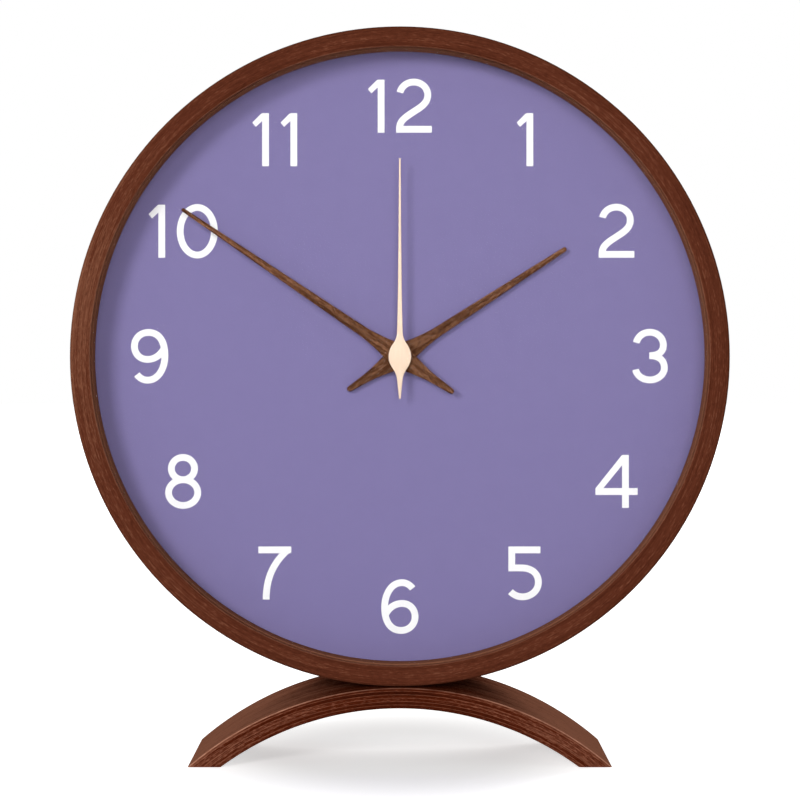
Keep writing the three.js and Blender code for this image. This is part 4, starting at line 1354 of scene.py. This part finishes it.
@dataclass(frozen=True)
class WoodenHand:
    """A tapered wooden hand with a flared hub and tail."""

    node: str
    body: Body
    reach: float
    tail: float
    tip: float
    bore: float
    angle: float
    hub: float = 3.9 * MM
    root: Point = (1.6 * MM, 13 * MM)
    flare: Point = (2.1 * MM, 6.5 * MM)
    tail_root: Point = (1.35 * MM, -12 * MM)
    tail_flare: Point = (1.95 * MM, -7.2 * MM)
    tail_end: float = 0.85 * MM
    edge: float = 0.22 * MM
    slack: float = 0.2 * MM
    sides: int = 48

    def outline(self) -> list[Point]:
        """The hand's outline, pointing at twelve."""
        right = chain(
            arc((0, self.tail_end - self.tail), (self.tail_end, self.tail_end), -90, 0, 8),
            bezier(self.tail_root, self.tail_flare, (self.hub, 0)),
            bezier((self.hub, 0), self.flare, self.root),
            arc((0, self.reach - self.tip), (self.tip, self.tip), 0, 90, 8),
        )
        return mirrored(right)

    def build(self, centre: Vector) -> None:
        """Builds the hand at its hour.

        Args:
            centre: The dial's centre.
        """
        low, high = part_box(self.node)
        hand = to_object(f"{self.node}_wood", plate(self.outline(), low.y, high.y, self.edge))
        bore = turned("bore_tool", block(0, self.bore, low.y - self.slack, high.y + self.slack), self.sides)
        combine(hand, [bore], Boolean.CUT)
        hand.location = centre
        hand.rotation_euler.y = math.radians(self.angle)
        set_up(hand, self.body, [HAND_WOOD], self.node)


@dataclass(frozen=True)
class SecondHand:
    """The pale second hand with its leaf-shaped boss and collet."""

    reach: float = 60.5 * MM
    tail: float = 13 * MM
    thickness: float = 0.4 * MM
    boss: float = 3.45 * MM
    shoulder: Point = (2 * MM, 4 * MM)
    fillet: Point = (1.15 * MM, 5.2 * MM)
    stem: Point = (0.9 * MM, 6.75 * MM)
    neck: Point = (0.5 * MM, 15 * MM)
    tip: float = 0.25 * MM
    bore: float = 0.7 * MM
    collet: float = 1.3 * MM
    edge: float = 0.1 * MM
    sides: int = 40

    def outline(self) -> list[Point]:
        """The hand's outline, pointing at twelve."""
        swell = (self.boss, self.shoulder[1] / 2)
        boss = chain(
            bezier((self.boss, 0), swell, self.shoulder),
            bezier(self.shoulder, self.fillet, self.stem),
        )
        right = chain(
            [(0, -self.tail), (self.tip, -self.tail)],
            [(x, -z) for x, z in reversed(boss)],
            boss,
            bezier(self.stem, self.neck, (self.tip, self.reach)),
            [(0, self.reach)],
        )
        return mirrored(right)

    def build(self, centre: Vector) -> None:
        """Builds the hand with its collet.

        Args:
            centre: The dial's centre.
        """
        low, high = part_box("second_hand")
        socket = low.y + self.thickness / 2
        hand = to_object("second_hand_leaf", plate(self.outline(), low.y, low.y + self.thickness, self.edge))
        collet = turned("collet_tool", block(0, self.collet, socket, high.y), self.sides)
        combine(hand, [collet], Boolean.JOIN)
        bore = turned("socket_tool", block(0, self.bore, socket, high.y + self.thickness), self.sides)
        combine(hand, [bore], Boolean.CUT)
        hand.location = centre
        set_up(hand, Body.SECOND, [CHAMPAGNE], "second_hand")


@dataclass
class Hands:
    """The three hands on their shafts."""

    case: WoodenCase
    hour: WoodenHand = WoodenHand(
        "hour_hand", Body.HOUR,
        reach=61 * MM, tail=19.2 * MM, tip=0.7 * MM, bore=2.3 * MM, angle=57,
    )
    minute: WoodenHand = WoodenHand(
        "minute_hand", Body.MINUTE,
        reach=80.6 * MM, tail=19.9 * MM, tip=0.55 * MM, bore=1.5 * MM, angle=304.05,
    )
    second: SecondHand = SecondHand()

    def build(self) -> None:
        """Builds the hands from back to front."""
        for hand in (self.hour, self.minute, self.second):
            hand.build(self.case.centre)


@dataclass
class MovementBack:
    """The moulded rear cover with its relief, and the setting knob on it."""

    corner: float = 4 * MM
    edge: float = 0.3 * MM
    soft: float = 0.2 * MM
    relief: float = 0.4 * MM
    seat: float = 0.3 * MM
    border: float = 2 * MM
    groove: Point = (0.5 * MM, 0.25 * MM)
    collar: Point = (5.8 * MM, 7 * MM)
    boss: float = 1.7 * MM
    pivot: Point = (0.6 * MM, 0.9 * MM)
    shaft: float = 1.4 * MM
    ribs: int = 4
    rib: Point = (15 * MM, 1.1 * MM)
    rib_drop: float = 4.5 * MM
    rib_pitch: float = 2.6 * MM
    bar_edge: float = 0.15 * MM
    bar_round: float = 0.49
    sign: Point = (2.8 * MM, 0.6 * MM)
    sign_place: Point = (21.5 * MM, 5.2 * MM)
    knob_socket: Point = (1.3 * MM, 1.8 * MM)
    knob_dish: Corner = (3.3 * MM, 3.8 * MM, 0.6 * MM)
    knob_bar: Point = (7 * MM, 1.3 * MM)
    grips: int = 20
    grip_steps: int = 12
    grip_depth: float = 0.4 * MM
    sides: int = 48

    def axis(self, node: str) -> Point:
        """Where a wheel's axis meets the cover."""
        low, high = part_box(node)
        return (low.x + high.x) / 2, (low.z + high.z) / 2

    def turned(self, corners: Sequence[Corner], axis: Point = (0, 0)) -> Piece:
        """A turned tool on an axis."""
        return turned("turned_tool", corners, self.sides, 3, (axis[0], 0, axis[1]))

    def bar(self, centre: Point, size: Point, front: float, back: float) -> Piece:
        """A straight raised bar with round ends.

        Args:
            centre: Its middle in x and z.
            size: Its length along x and its width.
            front: Depth of its front face.
            back: Depth of its back face.

        Returns:
            The bar.
        """
        (x, z), (length, width) = centre, size
        corner = self.bar_round * min(length, width)
        ends = block(x - length / 2, x + length / 2, z - width / 2, z + width / 2, corner)
        return to_object("bar_tool", plate(filleted(ends, 5), front, back, self.bar_edge))

    def raised(self, low: Vector, high: Vector, knob: Point, pivots: Sequence[Point]) -> list[Piece]:
        """What stands out from the cover: a collar, bosses, ribs and the cell's signs.

        Args:
            low: The cover's lower corner.
            high: Its upper corner.
            knob: The knob's axis.
            pivots: The wheels' axes.

        Returns:
            The pieces to join.
        """
        depths = (high.y - self.seat, high.y + self.relief)
        pieces = [self.turned(block(*self.collar, *depths, 0, 0, self.soft, self.soft), knob)]
        disc = block(0, self.boss, *depths, 0, 0, self.soft, 0)
        pieces += [self.turned(disc, pivot) for pivot in pivots]
        for row in range(self.ribs):
            centre = (high.x / 2, high.z - self.rib_drop - row * self.rib_pitch)
            pieces.append(self.bar(centre, self.rib, *depths))
        side, lift = self.sign_place
        pieces.append(self.bar((-side, low.z + lift), self.sign, *depths))
        plus = cross((side, low.z + lift), self.sign[0] / 2, self.sign[1] / 2)
        pieces.append(to_object("plus_tool", plate(plus, *depths, self.bar_edge)))
        return pieces

    def build_cover(self) -> None:
        """The cover with its relief, a groove along its border and holes for the shafts."""
        low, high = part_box("movement_cover")
        outline = filleted(block(low.x, high.x, low.z, high.z, 0, 0, self.corner, self.corner))
        cover = to_object("moulded_cover", plate(outline, low.y, high.y, self.edge))
        knob = self.axis("setting_knob")
        pivots = [self.axis(node) for node in ("second_wheel", "third_wheel", "fifth_wheel", "rotor_pinion")]
        combine(cover, self.raised(low, high, knob, pivots), Boolean.JOIN)
        wide, deep = self.groove
        line = mitred(outline, self.border)
        cuts = [to_object("groove_tool", ribbon(line, wide, high.y - deep, high.y + self.seat / 2, True))]
        bore = block(0, self.shaft, low.y - self.soft, high.y + self.relief + self.soft)
        cuts.append(self.turned(bore, knob))
        hole, depth = self.pivot
        blind = block(0, hole, low.y - self.seat, low.y + depth)
        cuts += [self.turned(blind, pivot) for pivot in pivots]
        combine(cover, cuts, Boolean.CUT)
        set_up(cover, Body.CLOCK, [BLACK_PLASTIC], "movement_cover")

    def build_knob(self) -> None:
        """The setting knob: a fluted rim, a dished face and a finger bar."""
        low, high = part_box("setting_knob")
        radius = (high.x - low.x) / 2
        rim = []
        for step in range(self.grips * self.grip_steps):
            angle = 2 * math.pi * step / (self.grips * self.grip_steps)
            reach = radius - self.grip_depth * (0.5 - 0.5 * math.cos(self.grips * angle))
            rim.append((reach * math.cos(angle), reach * math.sin(angle)))
        knob = to_object("fluted_knob", plate(rim, low.y, high.y, self.soft))
        floor, mouth, depth = self.knob_dish
        base, past = high.y - depth, high.y + self.seat
        dish = [(0, base, 0), (floor, base, self.soft), (mouth, high.y, 0), (mouth, past, 0), (0, past, 0)]
        hole, reach = self.knob_socket
        socket = block(0, hole, low.y - self.seat, low.y + reach)
        combine(knob, [self.turned(cut) for cut in (dish, socket)], Boolean.CUT)
        combine(knob, [self.bar((0, 0), self.knob_bar, base - self.seat / 2, high.y)], Boolean.JOIN)
        x, z = self.axis("setting_knob")
        knob.location = (x, 0, z)
        set_up(knob, Body.SETTING, [KNOB_PLASTIC], "setting_knob")


@dataclass
class Movement:
    """The quartz movement: housing, train, motor, electronics and cell."""

    cell_radius: float = 7.25 * MM
    nub_radius: float = 2.75 * MM
    nub_length: float = 1.4 * MM
    cell_edge: float = 0.6 * MM
    crimp: float = 1.2 * MM
    waist: Point = (0.7, 0.3)
    dish: Point = (0.7, 0.74)
    soft: float = 0.2 * MM
    cell_sides: int = 64
    back: MovementBack = field(default_factory=MovementBack)

    FINISHES = {
        BLACK_PLASTIC: ("movement_case", "driver_chip"),
        WHITE_PLASTIC: (
            "middle_plate", "hour_wheel", "centre_wheel", "motion_wheel", "third_wheel",
            "second_wheel", "fifth_wheel", "rotor_pinion", "coil_bobbin",
        ),
        MAGNET_GREY: ("rotor_magnet",),
        ZINC: ("stator_plate", "coil_core", "quartz_crystal", "contact_positive", "contact_negative"),
        COPPER: ("coil_winding",),
        BOARD_GREEN: ("circuit_board",),
    }

    def dress(self, nodes: dict[str, Piece]) -> None:
        """Gives the frame's own nodes their materials.

        Args:
            nodes: The frame's node objects by name.
        """
        for finish, names in self.FINISHES.items():
            for name in names:
                paint(nodes[name].data, [finish])
                LOG.info("%s is dressed in %s", name, finish.name)

    def build_cell(self) -> None:
        """The battery: a plain wrapped can with a crimped cap and a nub."""
        low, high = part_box("battery_cell")
        half = (high.x - low.x) / 2
        body = half - self.nub_length
        radius, nub = self.cell_radius, self.nub_radius
        edge, soft, crimp = self.cell_edge, self.soft, self.crimp
        corners = [
            (0, -half, 0),
            (radius * self.dish[0], -half, 0),
            (radius * self.dish[1], -half + soft, 0),
            (radius - edge, -half + soft, soft / 2),
            (radius, -half + edge, 1.5 * soft),
            (radius, body - crimp, soft),
            (radius - 1.5 * soft, body - self.waist[0] * crimp, soft),
            (radius - soft, body - self.waist[1] * crimp, soft),
            (radius - edge, body, soft),
            (nub, body, soft / 2),
            (nub, half, 2 * soft),
            (0, half, 0),
        ]
        cell = turned("battery_can", corners, self.cell_sides, 4, (low + high) / 2)
        cell.rotation_euler.z = -math.pi / 2
        set_up(cell, Body.BATTERY, [CELL_WRAP, ZINC], "battery_cell")
        for face in cell.data.polygons:
            face.material_index = int(not -half + edge < face.center.y < body - crimp)

    def build(self, nodes: dict[str, Piece]) -> None:
        """Dresses the nodes and builds the cell and the two screws.

        Args:
            nodes: The frame's node objects by name.
        """
        self.dress(nodes)
        self.build_cell()
        self.back.build_cover()
        self.back.build_knob()
        for side in ("left", "right"):
            Screw(f"movement_screw_{side}", head=2 * MM, head_height=1.2 * MM, shank=0.9 * MM).build()


# Studio


@dataclass(frozen=True)
class Lamp:
    """A soft square lamp that looks at a point."""

    name: str
    place: tuple[float, float, float]
    size: float
    power: float

    def build(self, aim: Vector) -> None:
        """Hangs the lamp and turns it.

        Args:
            aim: The point it looks at.
        """
        light = bpy.data.lights.new(self.name, "AREA")
        light.size = self.size
        light.energy = self.power
        lamp = bpy.data.objects.new(self.name, light)
        lamp.location = self.place
        lamp.rotation_euler = (aim - Vector(self.place)).to_track_quat("-Z", "Y").to_euler()
        bpy.context.scene.collection.objects.link(lamp)


@dataclass
class Studio:
    """A pale floor, a white backdrop and soft light from the upper left."""

    aim: Vector
    sky: float = 0.22
    floor_size: float = 8.0
    floor_gap: float = 0.02 * MM
    floor_colour: Colour = (0.8, 0.8, 0.8, 1.0)
    # Painted shade: the floor glows less within a few centimetres of the clock, greying it round its feet.
    near_glow: float = 0.44
    far_glow: float = 1.0
    glow_reach: tuple[float, float] = (0.03, 0.09)
    lamps: tuple[Lamp, ...] = (
        Lamp("key_lamp", (-1.5, -2.5, 1.02), 0.9, 43.5),
        Lamp("fill_lamp", (0.3, -2.5, 0.45), 1.2, 27.0),
        Lamp("rear_lamp", (0.9, 2.2, 1.6), 1.2, 34.0),
    )

    def seen(self, sheet: NodeSheet) -> Socket:
        """1 for the eye, mirrors and glass, 0 for light."""
        path = sheet.add("ShaderNodeLightPath").outputs
        bounced = sheet.math("MAXIMUM", path["Is Glossy Ray"], path["Is Transmission Ray"])
        return sheet.math("MAXIMUM", path["Is Camera Ray"], bounced)

    def build_sky(self) -> None:
        """White for the eye, softer as light."""
        world = bpy.data.worlds.new("studio_sky")
        world.use_nodes = True
        world.node_tree.nodes.clear()
        sheet = NodeSheet(world.node_tree)
        strength = sheet.spread(self.seen(sheet), 0.0, 1.0, self.sky, 1.0)
        back = sheet.add("ShaderNodeBackground", {"Color": WHITE, "Strength": strength})
        sheet.add("ShaderNodeOutputWorld", {"Surface": back.outputs[0]})
        bpy.context.scene.world = world

    def build_floor(self) -> None:
        """A pale floor that keeps the clock's shadow, glows less near the clock as painted shade, and is
        clear from below.
        """
        half = self.floor_size / 2
        mesh = bmesh.new()
        outline = [(-half, -half), (half, -half), (half, half), (-half, half)]
        mesh.faces.new([mesh.verts.new((x, y, -self.floor_gap)) for x, y in outline])
        floor = to_object("studio_floor", mesh)
        material = bpy.data.materials.new("pale_floor")
        material.use_nodes = True
        material.node_tree.nodes.clear()
        sheet = NodeSheet(material.node_tree)
        matt = sheet.add("ShaderNodeBsdfDiffuse", {"Color": self.floor_colour}).outputs[0]
        away = sheet.vector("LENGTH", sheet.place(), output=1)
        # Painted shade: the glow is weaker near the clock, greying the floor round its feet.
        glow_with_painted_shade = sheet.spread(away, *self.glow_reach, self.near_glow, self.far_glow)
        strength = sheet.math("MULTIPLY", self.seen(sheet), glow_with_painted_shade)
        glow = sheet.add("ShaderNodeEmission", {"Color": WHITE, "Strength": strength}).outputs[0]
        both = sheet.add("ShaderNodeAddShader", {0: matt, 1: glow}).outputs[0]
        clear = sheet.add("ShaderNodeBsdfTransparent").outputs[0]
        under = sheet.add("ShaderNodeNewGeometry").outputs["Backfacing"]
        surface = sheet.add("ShaderNodeMixShader", {0: under, 1: both, 2: clear}).outputs[0]
        sheet.add("ShaderNodeOutputMaterial", {"Surface": surface})
        floor.data.materials.append(material)
        floor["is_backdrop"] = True

    def build(self) -> None:
        """Builds floor, sky and lamps."""
        bpy.context.scene.view_settings.view_transform = "Standard"
        self.build_sky()
        self.build_floor()
        for lamp in self.lamps:
            lamp.build(self.aim)


@dataclass
class Viewpoint:
    """The camera, square to the dial and level with its centre."""

    case: WoodenCase
    distance: float = 535 * MM
    image: int = 800
    focal: float = 1769.0
    dial_pixel: Point = (399.85, 356.34)
    sensor: float = 36.0

    def build(self) -> None:
        """Sets the camera so that the dial's centre falls on its pixel."""
        data = bpy.data.cameras.new("front_view")
        data.sensor_width = self.sensor
        data.lens = self.focal / self.image * self.sensor
        data.shift_x = (self.image / 2 - self.dial_pixel[0]) / self.image
        data.shift_y = (self.dial_pixel[1] - self.image / 2) / self.image
        camera = bpy.data.objects.new("front_view", data)
        camera.location = (0, self.case.front - self.distance, self.case.centre.z)
        camera.rotation_euler = (math.pi / 2, 0, 0)
        bpy.context.scene.collection.objects.link(camera)
        bpy.context.scene.camera = camera


def corners(box: Iterable[Vector]) -> list[list[float]]:
    """A box's two corners as plain lists."""
    return [list(corner) for corner in box]


def main() -> None:
    """Builds the clock, its studio and its camera, and works out the bounds before and after."""
    logging.basicConfig(level=logging.INFO)
    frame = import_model()
    packed = corners(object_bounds())
    case = WoodenCase()
    Viewpoint(case).build()
    Studio(case.centre).build()
    case.build()
    ArchedBase().build()
    Dial(case).build()
    Hands(case).build()
    Movement().build(frame["nodes"])
    {"packed": packed, "visual": corners(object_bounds())}


if __name__ == "__main__":
    main()
